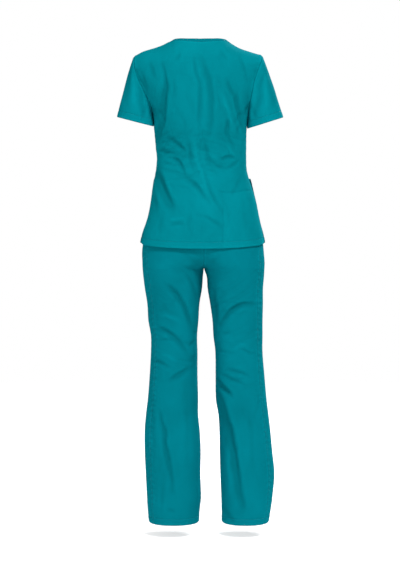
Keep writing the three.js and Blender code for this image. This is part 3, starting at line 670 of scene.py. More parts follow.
def folds_rise(folds, x, z):
    """How far folds move the cloth out.

    A row is a fold: x and z where it starts, bends and ends, its half width, its rise and its lean to a side.
    """
    wander = [FOLD_WANDER * soft_noise(x, z, FOLD_WANDER_CELL, seed) for seed in FOLD_WANDER_SEEDS]
    x, z = x + wander[0], z + wander[1]
    total = np.zeros_like(x)
    t = np.linspace(0, 1, FOLD_STEPS + 1)
    for from_x, from_z, bend_x, bend_z, to_x, to_z, width, rise, lean in folds:
        reach = FOLD_REACH * width
        near = np.ones_like(x, bool)
        for place, ends in ((x, (from_x, bend_x, to_x)), (z, (from_z, bend_z, to_z))):
            near &= (place > min(ends) - reach) & (place < max(ends) + reach)
        if not near.any():
            continue
        line_x = mix(mix(from_x, bend_x, t), mix(bend_x, to_x, t), t)
        line_z = mix(mix(from_z, bend_z, t), mix(bend_z, to_z, t), t)
        step_x, step_z = np.gradient(line_x), np.gradient(line_z)
        length = np.maximum(np.hypot(step_x, step_z), NOTHING)
        off_x = x[near][:, None] - line_x
        off_z = z[near][:, None] - line_z
        best = np.hypot(off_x, off_z).argmin(axis=1)
        pick = np.arange(len(best))
        off_x, off_z = off_x[pick, best], off_z[pick, best]
        across = (off_x * step_z[best] - off_z * step_x[best]) / length[best]
        onwards = (off_x * step_x[best] + off_z * step_z[best]) / length[best]
        place = np.clip(best + onwards / length[best], 0, FOLD_STEPS) / FOLD_STEPS
        past_end = np.where((best == 0) | (best == FOLD_STEPS), onwards, 0)
        leaning = 1 - lean * np.tanh(across / (FOLD_LEAN_WIDTH * width))
        widths_off = np.hypot(across, past_end) / (width * leaning)
        taper = np.sin(np.pi * mix(*FOLD_TAPER[:2], place)) ** FOLD_TAPER[2]
        crease = np.sqrt(widths_off**2 + FOLD_ROUNDING**2) - FOLD_ROUNDING
        lips = FOLD_LIP["rise"] * bump_at(widths_off - FOLD_LIP["place"], FOLD_LIP["width"])
        total[near] += rise * taper * (np.exp(-FOLD_FALL[0] * crease ** FOLD_FALL[1]) - lips)
    return total


CREASE_BEND = {"strength": 0.55, "cell": 45, "seed": 7}
CREASE_PATCHES = {"least": 0.55, "strength": 0.9, "cell": 55, "seed": 3}
CREASE_SHARPNESS = (2.6, 1.5)


def crease_lines(x, z, length, spacing, slant, seed):
    """Fine uneven crease lines that run at a slant in degrees, as a strength from 0 to 1."""
    turn = np.radians(slant)
    along = (x * np.cos(turn) + z * np.sin(turn)) / length
    across = (z * np.cos(turn) - x * np.sin(turn)) / spacing
    bend = CREASE_BEND["strength"] * soft_noise(x, z, CREASE_BEND["cell"], seed + CREASE_BEND["seed"])
    level = soft_noise(along, across + bend, 1.0, seed)
    narrowness, power = CREASE_SHARPNESS
    line = np.clip(1 - narrowness * np.abs(level), 0, 1) ** power
    patches = soft_noise(x, z, CREASE_PATCHES["cell"], seed + CREASE_PATCHES["seed"])
    return line * np.clip(CREASE_PATCHES["least"] + CREASE_PATCHES["strength"] * patches, 0, 1)


def zone(value, low, high, soft):
    """1 between two levels, fading to 0 outside them."""
    return ease(low - soft, low + soft, value) * (1 - ease(high - soft, high + soft, value))


def creased(rows, x, z, middle, seed=0):
    """How far fine creases draw the cloth in.

    A row is a zone of creases: its lowest and highest z and its softness, the creases' depth, length and
    spacing, their slants left and right of the garment's middle, and a seed.
    """
    total = np.zeros_like(x)
    for low, high, soft, depth, length, spacing, left_slant, right_slant, own in rows:
        slant = np.where(x > middle, left_slant, right_slant)
        lines = crease_lines(x, z, length, spacing, slant, seed + own)
        total += depth * zone(z, low, high, soft) * lines
    return total


def swelling(rows, x, z, seed=0):
    """Soft swells of the cloth: a row is their rise, their width to their height, their width and a seed."""
    return sum(rise * soft_noise(x, z * squash, cell, seed + own) for rise, squash, cell, own in rows)


BACK_FOLDS = (
    (114, -72, 102, -120, 106, -196, 4.6, -4.2, 0.35),
    (104, -128, 100, -214, 132, -305, 9.5, -6.2, 0.35),
    (20, -56, 14, -96, 4, -134, 4.4, -2.6, -0.2),
    (4, -120, -2, -180, 8, -268, 6.6, -2.8, -0.2),
    (-6, -56, -54, -180, -24, -304, 8.4, -3.7, 0.2),
    (84, -122, 78, -152, 78, -184, 5, -1.9, 0),
    (-122, -50, -136, -90, -146, -134, 5.5, -2.2, 0.2),
    (-94, -148, -116, -215, -136, -286, 6.6, -4.6, -0.3),
    (-60, -160, -78, -215, -112, -288, 6.4, 3.1, 0),
    (-76, -272, -92, -305, -106, -338, 5, -2.6, 0),
    (96, -294, 66, -318, 46, -342, 5, -2.8, 0.2),
    (132, -398, 118, -450, 82, -510, 10.5, -9, 0.3),
    (144, -462, 140, -492, 138, -522, 7, -2.6, 0),
    (88, -360, 58, -364, 47, -416, 5.3, -3.9, 0.2),
    (44, -303, 28, -352, 21, -400, 5, -2.2, 0),
    (22, -305, 8, -384, -24, -458, 5.9, 2.6, 0),
    (-16, -303, -18, -362, -48, -404, 5.5, -2.6, 0),
    (42, -424, 10, -440, -26, -490, 6.6, -4.6, 0.2),
    (-14, -412, -30, -462, -66, -532, 5.5, -2.6, -0.2),
    (-66, -366, -84, -360, -108, -364, 4.8, -4.2, 0),
    (-82, -332, -94, -345, -105, -358, 4.4, 2.2, 0),
    (-120, -372, -104, -388, -84, -396, 4.4, -2.6, 0),
    (-132, -402, -118, -440, -92, -478, 6, -1.4, -0.2),
    (6, -533, -36, -548, -68, -572, 5.9, -2.2, 0),
    (90, -569, 72, -560, 50, -562, 5, -2.2, 0),
    (92, -552, 72, -545, 50, -547, 4.4, 1.6, 0),
    (-60, -470, -84, -520, -96, -580, 6.4, -1, 0),
    (-130, -480, -140, -530, -142, -590, 6, -1.1, 0),
    (112, -520, 122, -565, 126, -606, 6, -1, 0),
    (30, -500, 26, -560, 34, -612, 6.4, -0.9, 0),
    (60, -36, 66, -52, 80, -66, 5, -1.6, 0),
    (-58, -30, -68, -50, -82, -64, 5, -1.6, 0),
    (150, -60, 146, -92, 138, -124, 6.1, -2.6, 0.2),
    (132, -212, 120, -232, 104, -246, 5, -2.8, 0),
    (-134, -214, -124, -236, -106, -250, 5, -2.8, 0),
    (-84, -122, -92, -146, -96, -170, 5.3, -2.8, 0.2),
    (-88, -242, -84, -268, -92, -296, 5.7, -3.9, 0.2),
    (-120, -262, -114, -280, -122, -300, 4.4, -2.4, 0),
    (-28, -352, -44, -386, -84, -396, 5.3, -3.1, 0),
    (106, -350, 92, -342, 78, -350, 4, -2.6, 0),
    (120, -310, 104, -318, 88, -312, 4, -2.2, 0),
    (122, -286, 108, -292, 94, -284, 4, -2, 0),
    (112, -372, 98, -380, 84, -376, 4, -2.2, 0),
    (106, -300, 76, -318, 50, -338, 4.8, -2.8, 0.2),
    (128, -330, 112, -338, 96, -352, 5, -2.4, 0),
)
ARMHOLE_FOLDS = (
    (206, -68, 190, -118, 166, -160, 4, -3.4, 0),
    (176, -96, 170, -132, 158, -172, 4.5, -2.4, 0.2),
    (-186, -66, -172, -104, -164, -146, 4, -2.2, 0),
    (150, -186, 144, -212, 134, -240, 4.5, -2.6, 0),
    (-152, -190, -146, -214, -134, -238, 4.5, -2.6, 0),
)
TOP_SWELLS = ((1.0, 0.6, 62, 3), (0.4, 0.7, 27, 4), (0.2, 1, 12, 5))
TOP_CREASES = (
    (-440, -285, 35, 1.9, 55, 13, 8, 8, 12),
    (-420, -270, 40, 1.4, 50, 12, -32, 28, 14),
    (-300, -70, 30, 0.9, 130, 18, 84, 84, 16),
    (-600, -430, 30, 1.0, 90, 16, 52, -50, 18),
)


def top_drift(x, z):
    """Long low swells and shorter ones over the whole top, and the fine creases of each part of it."""
    return swelling(TOP_SWELLS, x, z) - creased(TOP_CREASES, x, z, middle=0)


def edge_fade(grid, reach):
    """0 at the sewn sides of a piece and 1 further in."""
    return ease(0, reach, np.minimum(grid["first"], grid["last"]))


SEAM_GROOVE = {"depth": 0.55, "width": 1.2}
SEAM_SHOULDER = {"rise": 0.5, "place": 5.0, "width": 3.4}
STITCH_GROOVE = {"depth": 0.6, "width": 0.9}
FOLDED_EDGE = {"depth": 0.7, "width": 0.9}
PUCKER_WANDER = {"strength": 2.4, "place": 7.0, "length": 3.1}
PUCKER_UNEVENNESS = {"strength": 0.35, "place": 3.0, "length": 5.3}
HEM_PUFF = 0.45
HEM_WAVES = {"pitch": 17, "rise": 0.35, "reach": 9}


def sewn_edge(distance):
    """The cloth turning in at a seam, with the soft roll beside it."""
    roll = SEAM_SHOULDER["rise"] * bump_at(distance - SEAM_SHOULDER["place"], SEAM_SHOULDER["width"])
    return roll - SEAM_GROOVE["depth"] * bump_at(distance, SEAM_GROOVE["width"])


def stitch_groove(distance, place):
    return -STITCH_GROOVE["depth"] * bump_at(distance - place, STITCH_GROOVE["width"])


def folded_edge(distance, depth=FOLDED_EDGE["depth"], width=FOLDED_EDGE["width"]):
    return -depth * bump_at(distance, width)


def varied(run, pitch, variation, seed, own_seed):
    """Noise along a line only, in lengths of some pitches."""
    level = soft_noise(run, run * 0 + variation["place"] * seed, variation["length"] * pitch, own_seed)
    return variation["strength"] * level


def puckers(distance, run, pitch, rise, reach, seed):
    """Small ripples across a seam where the stitching draws the cloth in, uneven in place and height."""
    wander = varied(run, pitch, PUCKER_WANDER, seed, seed)
    strength = 1 - PUCKER_UNEVENNESS["strength"] + varied(run, pitch, PUCKER_UNEVENNESS, seed, seed + 1)
    return rise * strength * np.sin(2 * np.pi * run / pitch + wander) * np.exp(-distance / reach)


def turned_hem(grid, seed):
    """A turned-up hem: doubled cloth, a groove at its stitching and the slight waves that pulls."""
    distance = grid["bottom"]
    puff = HEM_PUFF * ease(0, 4, distance) * (1 - ease(HEM_TURN - 4, HEM_TURN, distance))
    waves = puckers(np.abs(distance - HEM_TURN), grid["across"], **HEM_WAVES, seed=seed)
    return folded_edge(distance) + puff + stitch_groove(distance, HEM_TURN) + waves


def hem_layers(grid):
    """Thickness, with the second layer of the turned-up hem."""
    return CLOTH * (2 - ease(HEM_TURN - 1, HEM_TURN + 1.5, grid["bottom"]))


# The depth of a fold at which its painted shade is full.
FULL_PAINTED_SHADE_DEPTH = 3
PRESSED_PLACE = 3.5
PRESSED_WIDTH = 2.5


def make_cloth(name, grid, relief, slot, thickness=CLOTH, lift=0.0):
    """A thin closed shell over a grid: its outer face, its inner face and the narrow edge between."""
    ring = grid["ring"]
    outer = grid["points"] + normals_of(grid["points"], ring) * (relief + lift)[..., None]
    normals = normals_of(outer, ring)
    grid["outer"], grid["normals"] = outer, normals
    inner = outer - normals * np.broadcast_to(thickness, relief.shape)[..., None]
    rows, columns = relief.shape
    layer = rows * columns
    corner = np.arange(layer).reshape(rows, columns)
    right = np.roll(corner, -1, axis=1) if ring else corner[:, 1:]
    left = corner if ring else corner[:, :-1]
    face = np.stack([left[:-1], right[:-1], right[1:], left[1:]], axis=-1).reshape(-1, 4)
    faces = [face, face[:, ::-1] + layer]
    borders = [(left[0], right[0]), (right[-1], left[-1])]
    if not ring:
        borders += [(corner[1:, 0], corner[:-1, 0]), (corner[:-1, -1], corner[1:, -1])]
    for low, high in borders:
        faces.append(np.stack([high, low, low + layer, high + layer], axis=-1))
    faces = np.concatenate(faces)
    mesh = bpy.data.meshes.new(name)
    mesh.vertices.add(2 * layer)
    mesh.vertices.foreach_set("co", (np.concatenate([outer, inner]) * MM).ravel())
    mesh.loops.add(faces.size)
    mesh.loops.foreach_set("vertex_index", faces.ravel())
    mesh.polygons.add(len(faces))
    mesh.polygons.foreach_set("loop_start", np.arange(0, faces.size, 4))
    mesh.polygons.foreach_set("use_smooth", np.ones(len(faces), bool))
    mesh.update(calc_edges=True)
    cut = np.tile(np.stack([grid["across"], grid["along"]], axis=-1).reshape(-1, 2) * MM, (2, 1))
    cut_corners = cut[faces]
    if ring:
        girth = np.ptp(cut[:, 0])
        starts = cut_corners[..., 0].max(axis=1, keepdims=True) - cut_corners[..., 0] > girth / 2
        cut_corners[..., 0] += starts * (girth + BODY_PITCH * MM)
    mesh.uv_layers.new(name="cut").data.foreach_set("uv", cut_corners.ravel())
    edge = np.minimum(grid["bottom"], grid["top"])
    if not ring:
        edge = np.minimum(edge, np.minimum(grid["first"], grid["last"]))
    for attribute, values in (
        # Painted shade: how deep the cloth lies in a fold, which darkens its colour.
        ("painted_fold_shade", np.clip(-relief / FULL_PAINTED_SHADE_DEPTH, -0.5, 1)),
        ("pressed_edge", bump_at(edge - PRESSED_PLACE, PRESSED_WIDTH)),
        ("pull", grid.get("pull", np.zeros_like(relief))),
    ):
        data = mesh.attributes.new(attribute, "FLOAT", "POINT").data
        data.foreach_set("value", np.tile(values.ravel(), 2).astype(np.float32))
    mesh.validate()
    mesh.materials.append(TWILLS[slot])
    piece = add_object(name, mesh)
    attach(piece, "root")
    return piece


def cut_from(node):
    """Hides the part of model.glb that a piece of cloth stands for."""
    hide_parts(node)


ALL = slice(None)
BETWEEN_EDGES = slice(2, -2)


def edge_of(grid, rows=ALL, columns=ALL):
    """Points and directions along part of a piece's edge."""
    return grid["outer"][rows, columns].reshape(-1, 3), grid["normals"][rows, columns].reshape(-1, 3)


def add_trim(name, vertices, faces, material):
    mesh = bpy.data.meshes.new(name)
    mesh.from_pydata((vertices * MM).tolist(), [], faces)
    mesh.shade_smooth()
    mesh.materials.append(material)
    trim = add_object(name, mesh)
    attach(trim, "root")


SEAM_ROLL_DEPTH = 2.1
SEAM_ROLL_RADIUS = 1.7
SEAM_ROLL_SIDES = 8


def add_seam(name, first_edge, second_edges, slot, closed=False):
    """The turnings of a seam, overlocked together, as a round roll just inside the joined edges."""
    points, directions = first_edge
    others, other_directions = (np.concatenate(lists) for lists in zip(*second_edges))
    match = np.linalg.norm(points[:, None] - others[None], axis=-1).argmin(axis=1)
    inwards = unit(directions + other_directions[match])
    centre = (points + others[match]) / 2 - inwards * SEAM_ROLL_DEPTH
    along = unit(np.gradient(centre, axis=0))
    sideways = unit(np.cross(along, inwards))
    upwards = np.cross(sideways, along)
    turn = np.arange(SEAM_ROLL_SIDES) * 2 * np.pi / SEAM_ROLL_SIDES
    rings = centre[:, None] + SEAM_ROLL_RADIUS * (
        np.cos(turn)[None, :, None] * sideways[:, None] + np.sin(turn)[None, :, None] * upwards[:, None]
    )
    corner = np.arange(rings.shape[0] * SEAM_ROLL_SIDES).reshape(-1, SEAM_ROLL_SIDES)
    if closed:
        corner = np.concatenate([corner, corner[:1]])
    beside = np.roll(corner, -1, axis=1)
    faces = np.stack([corner[:-1], beside[:-1], beside[1:], corner[1:]], axis=-1).reshape(-1, 4).tolist()
    if not closed:
        faces += [corner[0][::-1].tolist(), corner[-1].tolist()]
    add_trim(name, rings.reshape(-1, 3), faces, TWILLS[slot])


STITCH_PITCH = 3.0
STITCH_START = 0.12
STITCH_SHAPE = ((0.0, -0.35), (0.12, 0.08), (0.64, 0.08), (0.76, -0.35))
THREAD_RADIUS = 0.24
THREAD_SIDES = 4


def add_stitches(name, lines):
    """Rows of single stitches, each a short thread whose ends dip into the cloth.

    A stitch's shape is a share of its pitch and a height over the cloth for each of its rings.
    """
    vertices, faces = [], []
    for points, normals in lines:
        along = arc_lengths(points, 0)
        count = int(along[-1] / STITCH_PITCH)
        starts = (np.arange(count) + STITCH_START) * STITCH_PITCH
        rings = []
        for share, height in STITCH_SHAPE:
            places = starts + share * STITCH_PITCH
            centre, up = (
                np.stack([np.interp(places, along, column) for column in line.T], axis=-1)
                for line in (points, normals)
            )
            aside = np.cross(unit(np.gradient(centre, axis=0)), up)
            centre = centre + up * height
            for turn in range(THREAD_SIDES):
                angle = 2 * np.pi * turn / THREAD_SIDES
                rings.append(centre + THREAD_RADIUS * (np.cos(angle) * aside + np.sin(angle) * up))
        base = sum(len(part) for part in vertices)
        vertices.append(np.stack(rings, axis=1).reshape(-1, 3))
        stitch_starts = base + np.arange(count) * len(rings)
        corner = np.arange(len(rings)).reshape(-1, THREAD_SIDES)
        beside = np.roll(corner, -1, axis=1)
        walls = np.stack([corner[:-1], beside[:-1], beside[1:], corner[1:]], axis=-1).reshape(-1, 4)
        shape = np.concatenate([walls, corner[:1, ::-1], corner[-1:]])
        faces.append((stitch_starts[:, None, None] + shape[None]).reshape(-1, 4))
    add_trim(name, np.concatenate(vertices), np.concatenate(faces).tolist(), THREAD)


def neck_corner(side):
    share = NECK_OUTER["half_width"] / TOP_WIDTHS[side][-1]
    return float(column_at(np.array(share), SHOULDER_CUT))


SHOULDER_COLUMNS = 20
NECK_GIRTH = 230
NECK_COLUMNS = int(NECK_GIRTH / BODY_PITCH)
TOP_LENGTH = 560
TOP_ROWS = int(TOP_LENGTH / BODY_PITCH)
FADES = {"folds": 18, "drift": 14, "armhole folds": 6}
ARMHOLE_GROOVE = 1.9
SIDE_PUCKERS = {"pitch": 19, "rise": 0.6, "reach": 8}
SIDE_PULL = (0.5, 9)
SHOULDER_PULL = (0.35, 6)


def pulled(distance, strength, reach):
    return strength * np.exp(-distance / reach)


def top_face(facing, folds):
    """The grid of one face of the top, with its folds."""
    first, last = ("left", "right") if facing > 0 else ("right", "left")
    columns = [
        (SEAM_STEPS, CORNER_STEPS, SHOULDER_COLUMNS),
        (CORNER_STEPS, CORNER_STEPS, NECK_COLUMNS),
        (CORNER_STEPS, SEAM_STEPS, SHOULDER_COLUMNS),
    ]
    anchors = [0, neck_corner(first), 1 - neck_corner(last), 1]
    grid = lay_out(partial(face_point, facing), anchors, columns, (HEM_STEPS, SEAM_STEPS, TOP_ROWS))
    x, _, z = np.moveaxis(grid["points"], -1, 0)
    grid["folds"] = folds_rise(folds, x, z) * edge_fade(grid, FADES["folds"])
    grid["folds"] += top_drift(x, z) * edge_fade(grid, FADES["drift"])
    grid["folds"] += folds_rise(ARMHOLE_FOLDS, x, z) * edge_fade(grid, FADES["armhole folds"])
    grid["side"] = np.minimum(grid["first"], grid["last"])
    return grid


def top_relief(grid, seed):
    """How far the cloth of a face stands out: folds, hem, seams, puckers and the stitched vents."""
    side = grid["side"]
    height = grid["points"][..., 2]
    relief = grid["folds"] + turned_hem(grid, seed) + sewn_edge(grid["top"])
    relief += sewn_edge(side) * mix(1, ARMHOLE_GROOVE, ease(ARMPIT + 10, ARMPIT + 60, height))
    relief += puckers(side, height, **SIDE_PUCKERS, seed=seed + 2) * ease(VENT_TOP, VENT_TOP + 30, height)
    relief += stitch_groove(side, TOPSTITCH) * (1 - ease(VENT_TOP - 4, VENT_TOP + 2, height))
    grid["pull"] = pulled(side, *SIDE_PULL) + pulled(grid["top"], *SHOULDER_PULL)
    return relief


PRINT_MOUTH = -462
PRINT_MOUTH_SAG = {"rise": 3.5, "middle": -50, "length": 24}
PRINT_MOUTH_ENDS = (-158, -56, 6)
PRINT_SIDE = -70
PRINT_SIDE_ENDS = (-620, -510, 12)
PRINT_STEP_ENDS = (-150, PRINT_SIDE, 10)
PRINT_LINE = 2.4
PRINT_STEP = 0.8
PRINT_MOUTH_DEPTH = 1.6
PRINT_SIDE_DEPTH = 1.1


def pocket_print(grid):
    """The seat pocket below pressed faintly through the cloth: its mouth and its inner side."""
    x, _, z = np.moveaxis(grid["points"], -1, 0)
    sag = PRINT_MOUTH_SAG
    above = z - PRINT_MOUTH - sag["rise"] * np.sin((x - sag["middle"]) / sag["length"])
    beside = x - PRINT_SIDE
    mouth_line = bump_at(above, PRINT_LINE) * zone(x, *PRINT_MOUTH_ENDS)
    side_line = bump_at(beside, PRINT_LINE) * zone(z, *PRINT_SIDE_ENDS)
    step = ease(2, -4, above) * ease(4, -4, beside) * zone(x, *PRINT_STEP_ENDS)
    return PRINT_STEP * step - PRINT_MOUTH_DEPTH * mouth_line - PRINT_SIDE_DEPTH * side_line


def hem_and_vent_lines(grid):
    """Where the turned edges of a face's hem and of its two side vents are stitched."""
    below = grid["points"][:, 0, 2] < VENT_TOP
    vents = [edge_of(grid, below, column) for column in (TOPSTITCH_STEP, -1 - TOPSTITCH_STEP)]
    return [edge_of(grid, HEM_STITCH_STEP, BETWEEN_EDGES)] + vents


back_grid = top_face(1, BACK_FOLDS)
back_relief = top_relief(back_grid, 11) + pocket_print(back_grid)
back = make_cloth("back_of_top", back_grid, back_relief, "top_cloth", hem_layers(back_grid))
cut_from("top_back")
add_stitches("back_hem_stitches", hem_and_vent_lines(back_grid))


# The front of the top. The same twill cut with a deep V neck, hanging from the shoulder seams over the
# chest and open at the side vents. Two patch pockets are sewn on near its hem.
FRONT_FOLDS = (
    (112, -222, 96, -300, 78, -392, 7, -4.7, 0.2),
    (-108, -226, -98, -310, -70, -402, 7, -4.7, -0.2),
    (30, -296, 12, -380, 24, -474, 6.6, -3.6, 0),
    (-30, -326, -46, -420, -26, -504, 6.9, 2.7, 0),
    (122, -76, 112, -150, 128, -214, 6.9, -3.7, 0.2),
    (-120, -80, -110, -150, -124, -208, 6.9, -3.7, -0.2),
    (-58, -238, -66, -320, -46, -404, 5.9, -2.7, 0),
    (62, -250, 60, -330, 50, -420, 5.9, -2.5, 0),
    (4, -236, -4, -290, 8, -350, 5.5, -2, 0),
    (128, -372, 104, -384, 82, -380, 5, -3.1, 0),
    (-128, -376, -106, -390, -80, -388, 5, -3.1, 0),
    (134, -404, 122, -420, 96, -424, 4.4, -2.2, 0),
    (14, -470, 8, -540, 16, -610, 6.9, -2.2, 0),
    (-20, -500, -26, -560, -18, -614, 5.9, 1.9, 0),
)
front_grid = top_face(-1, FRONT_FOLDS)
front_relief = top_relief(front_grid, 23)
front = make_cloth("front_of_top", front_grid, front_relief, "top_cloth", hem_layers(front_grid))
cut_from("top_front")
add_stitches("front_hem_stitches", hem_and_vent_lines(front_grid))

SIDE_COLUMNS = {"left": (0, -1), "right": (-1, 0)}
SIGN = {"left": 1, "right": -1}
for side, (back_column, front_column) in SIDE_COLUMNS.items():
    heights = back_grid["points"][:, back_column, 2]
    back_side = edge_of(back_grid, (heights > VENT_TOP) & (heights < ARMPIT), back_column)
    add_seam(f"{side}_side_seam", back_side, [edge_of(front_grid, ALL, front_column)], "top_cloth")
    is_shoulder = back_grid["points"][-1, :, 0] * SIGN[side] > NECK_OUTER["half_width"]
    add_seam(
        f"{side}_shoulder_seam", edge_of(back_grid, -1, is_shoulder), [edge_of(front_grid, -1)], "top_cloth"
    )


# The neckband. A strip of the same twill folded in two along its length, sewn round the neck's hole,
# mitred at the point of the V, pressed flat and stitched close to its seam.
BAND_THICKNESS = 1.6
BAND_TURNS = 420
BAND_ROWS = 12
BAND_STITCH = 2.2
BAND_EDGE_STEPS = ((0, 0.5, 1.2, 2.0), (0, 0.5, 1.2, BAND_STITCH))
BAND_STITCH_STEP = 3
BAND_CORNERS = (0, 0.5, 0.75)
BAND_WAVES = {"rise": 0.12, "cell": 14, "seed": 31}


def neckband_point(turn, width):
    """A point of the band: turn goes round the neck from its left corner, width from its seam to its edge."""
    turn, width = spread(turn, width)
    angle = (turn % 1) * 2 * np.pi
    reach = mix(NECK_OUTER["half_width"] - 2 * SEAM_GAP, NECK_INNER["half_width"], width)
    back_depth = mix(NECK_OUTER["back_depth"] - SEAM_GAP, NECK_INNER["back_depth"], width)
    v_point = mix(NECK_OUTER["v_point"] + 2.5 * SEAM_GAP, NECK_INNER["v_point"], width)
    x = reach * np.cos(angle)
    ridge = read(SHOULDER_LINE, "height", x)
    neck = {"half_width": reach, "v_point": v_point}
    is_back = angle <= np.pi
    level = np.where(is_back, 0, np.minimum(ridge, neck_front_height(x, neck)))
    share = x / half_width(x, level)
    dome = dome_height(share)
    flat = np.where(is_back, face_depth(1, share, level), face_depth(-1, share, level))
    depth = back_depth * np.sin(angle)
    back_height = ridge - dome * (1 - np.sqrt(np.clip(1 - (depth / flat) ** 2, 0, 1)))
    climb = np.clip((level - (ridge - dome)) / dome, 0, 1)
    front_y = -flat * np.sqrt(1 - climb**2)
    return np.stack([x, np.where(is_back, depth, front_y), np.where(is_back, back_height, level)], axis=-1)


DENSE_RING_ROWS = 121
DENSE_TURNS = 1600


def ring_grid(point_at, turns, row_steps):
    """A grid round a tube, its rows at true distances from its two open ends."""
    dense = np.linspace(0, 1, DENSE_RING_ROWS)
    v = rows_at(arc_lengths(point_at(turns[None, :], dense[:, None]), 0), dense, row_steps)
    u = np.broadcast_to(turns, v.shape)
    return measured(point_at(u, v), u, v, ring=True)


def even_turns(point_at, count, v, always=()):
    """Turns that are evenly spaced along one ring of a tube, with some that are always there."""
    dense = np.linspace(0, 1, DENSE_TURNS)
    arc = arc_lengths(point_at(dense[None, :], np.array([[v]])), 1)[0]
    even = np.interp(np.linspace(0, arc[-1], count + 1)[:-1], arc, dense)
    for turn in always:
        even[np.abs(even - turn).argmin()] = turn
    return np.sort(even)


band_turns = even_turns(neckband_point, BAND_TURNS, v=0.5, always=BAND_CORNERS)
band_grid = ring_grid(neckband_point, band_turns, (*BAND_EDGE_STEPS, BAND_ROWS))
band_relief = folded_edge(band_grid["bottom"], 0.7, 1.0) + folded_edge(band_grid["top"], 0.5, 0.8)
band_relief += stitch_groove(band_grid["bottom"], BAND_STITCH)
waves = soft_noise(band_grid["across"], band_grid["along"], BAND_WAVES["cell"], BAND_WAVES["seed"])
band_relief += BAND_WAVES["rise"] * waves
# Its colour is darker than the top's: painted shade along the neck edge.
band = make_cloth("neck_binding", band_grid, band_relief, "band_cloth", BAND_THICKNESS)
cut_from("neckband")
neckline = [edge_of(grid, -1) for grid in (back_grid, front_grid)]
add_stitches("neck_stitches", [edge_of(band_grid, BAND_STITCH_STEP)])
add_seam("neck_seam", edge_of(band_grid, 0), neckline, "band_cloth", closed=True)


# The sleeves. Each is one piece of twill closed under the arm, eased into the armhole so that its head
# rounds over the shoulder, and turned up at the cuff under one row of stitching.
SLEEVE_TURNS = 100
SLEEVE_ROWS = 24
CUFFS = {
    "left": {"outer": (257, -235), "inner": (144, -264), "half_depth": 56, "middle_y": 4},
    "right": {"outer": (-258, -236), "inner": (-146.5, -271), "half_depth": 56, "middle_y": 4},
}
LEAVE_OUTWARDS = (0.55, 0.4)
LEAVE_INWARDS = 0.25
LEAVE_UPWARDS = (-0.8, 0.5)
LEAVE_LENGTHS = {"tip": 7, "armpit": 8, "side": 32}
ARRIVE_LENGTHS = {"tip": 70, "armpit": 10}


def sleeve_point(side, turn, v):
    """A point of a sleeve: turn goes round it, v from the cuff up to the armhole.

    Its cloth leaves the armhole outwards at the tip of the shoulder and steeply down at the armpit.
    """
    turn, v = spread(turn, v)
    turn = turn % 1
    cuff = CUFFS[side]
    sign = SIGN[side]
    is_back = turn <= 0.5
    from_tip = np.minimum(turn, 1 - turn) if side == "left" else np.abs(0.5 - turn)
    rows = mix(1, height_share(ARMPIT), 2 * from_tip)
    back_edge = top_point(1, np.full_like(rows, 0.0 if sign > 0 else 1.0), rows)
    front_edge = top_point(-1, np.full_like(rows, 1.0 if sign > 0 else 0.0), rows)
    edge = np.where(is_back[..., None], back_edge, front_edge)
    edge[..., 1] *= (from_tip > NOTHING) & (from_tip < 0.5 - NOTHING)
    facing = np.where(is_back, 1, -1)
    top = np.cos(2 * np.pi * from_tip)
    flank = np.sin(2 * np.pi * from_tip)
    (outer_x, outer_z), (inner_x, inner_z) = cuff["outer"], cuff["inner"]
    half_x, half_z = (outer_x - inner_x) / 2, (outer_z - inner_z) / 2
    down = np.array([half_z * sign, 0, -half_x * sign]) / np.hypot(half_x, half_z)
    end = np.stack([
        (outer_x + inner_x) / 2 + half_x * top,
        cuff["middle_y"] + facing * cuff["half_depth"] * flank,
        (outer_z + inner_z) / 2 + half_z * top,
    ], axis=-1)
    outwards, upwards = (start + change * top for start, change in (LEAVE_OUTWARDS, LEAVE_UPWARDS))
    leave = unit(np.stack([sign * outwards, -facing * LEAVE_INWARDS * flank, upwards], axis=-1))
    start = edge + leave * SEAM_GAP * 2
    leave_length = mix(LEAVE_LENGTHS["armpit"], LEAVE_LENGTHS["side"], flank)
    leave_length = mix(leave_length, LEAVE_LENGTHS["tip"], np.clip(top, 0, 1))
    arrive_length = mix(ARRIVE_LENGTHS["armpit"], ARRIVE_LENGTHS["tip"], (1 + top) / 2)
    second = start + leave * leave_length[..., None]
    third = end - down * arrive_length[..., None]
    s, t = v[..., None], 1 - v[..., None]
    return start * s**3 + second * 3 * s * s * t + third * 3 * s * t * t + end * t**3


SLEEVE_FOLDS = {
    "left": (
        (206, -66, 190, -120, 166, -164, 5, -2, 0),
        (186, -140, 172, -190, 168, -236, 6.9, -2.4, 0.2),
        (226, -140, 222, -180, 228, -212, 8.2, -1.4, 0),
        (206, -110, 198, -160, 200, -214, 7.6, 1.3, 0),
        (160, -196, 170, -224, 178, -246, 5, -1.7, 0),
        (212, -88, 218, -118, 226, -150, 7.6, -1.3, 0),
    ),
    "right": (
        (-200, -92, -188, -128, -170, -162, 5, -2, 0),
        (-182, -146, -172, -196, -166, -240, 6.9, -2.4, -0.2),
        (-226, -140, -222, -184, -228, -216, 8.2, -1.4, 0),
        (-204, -112, -198, -162, -200, -218, 7.6, 1.3, 0),
        (-158, -200, -168, -228, -176, -250, 5, -1.7, 0),
        (-208, -86, -216, -118, -226, -150, 7.6, -1.3, 0),
    ),
}
TIP_AND_ARMPIT = {"left": (0.0, 0.5), "right": (0.5, 0.0)}
SLEEVE_WAVES = ((0.6, 1, 40), (0.3, 1.3, 18))
SLEEVE_PUCKERS = {"pitch": 13, "rise": 0.5, "reach": 8}
CUFF_CALM = 0.55
ARMPIT_SWELL = {"rise": 1.3, "place": 0.10, "width": 0.055}


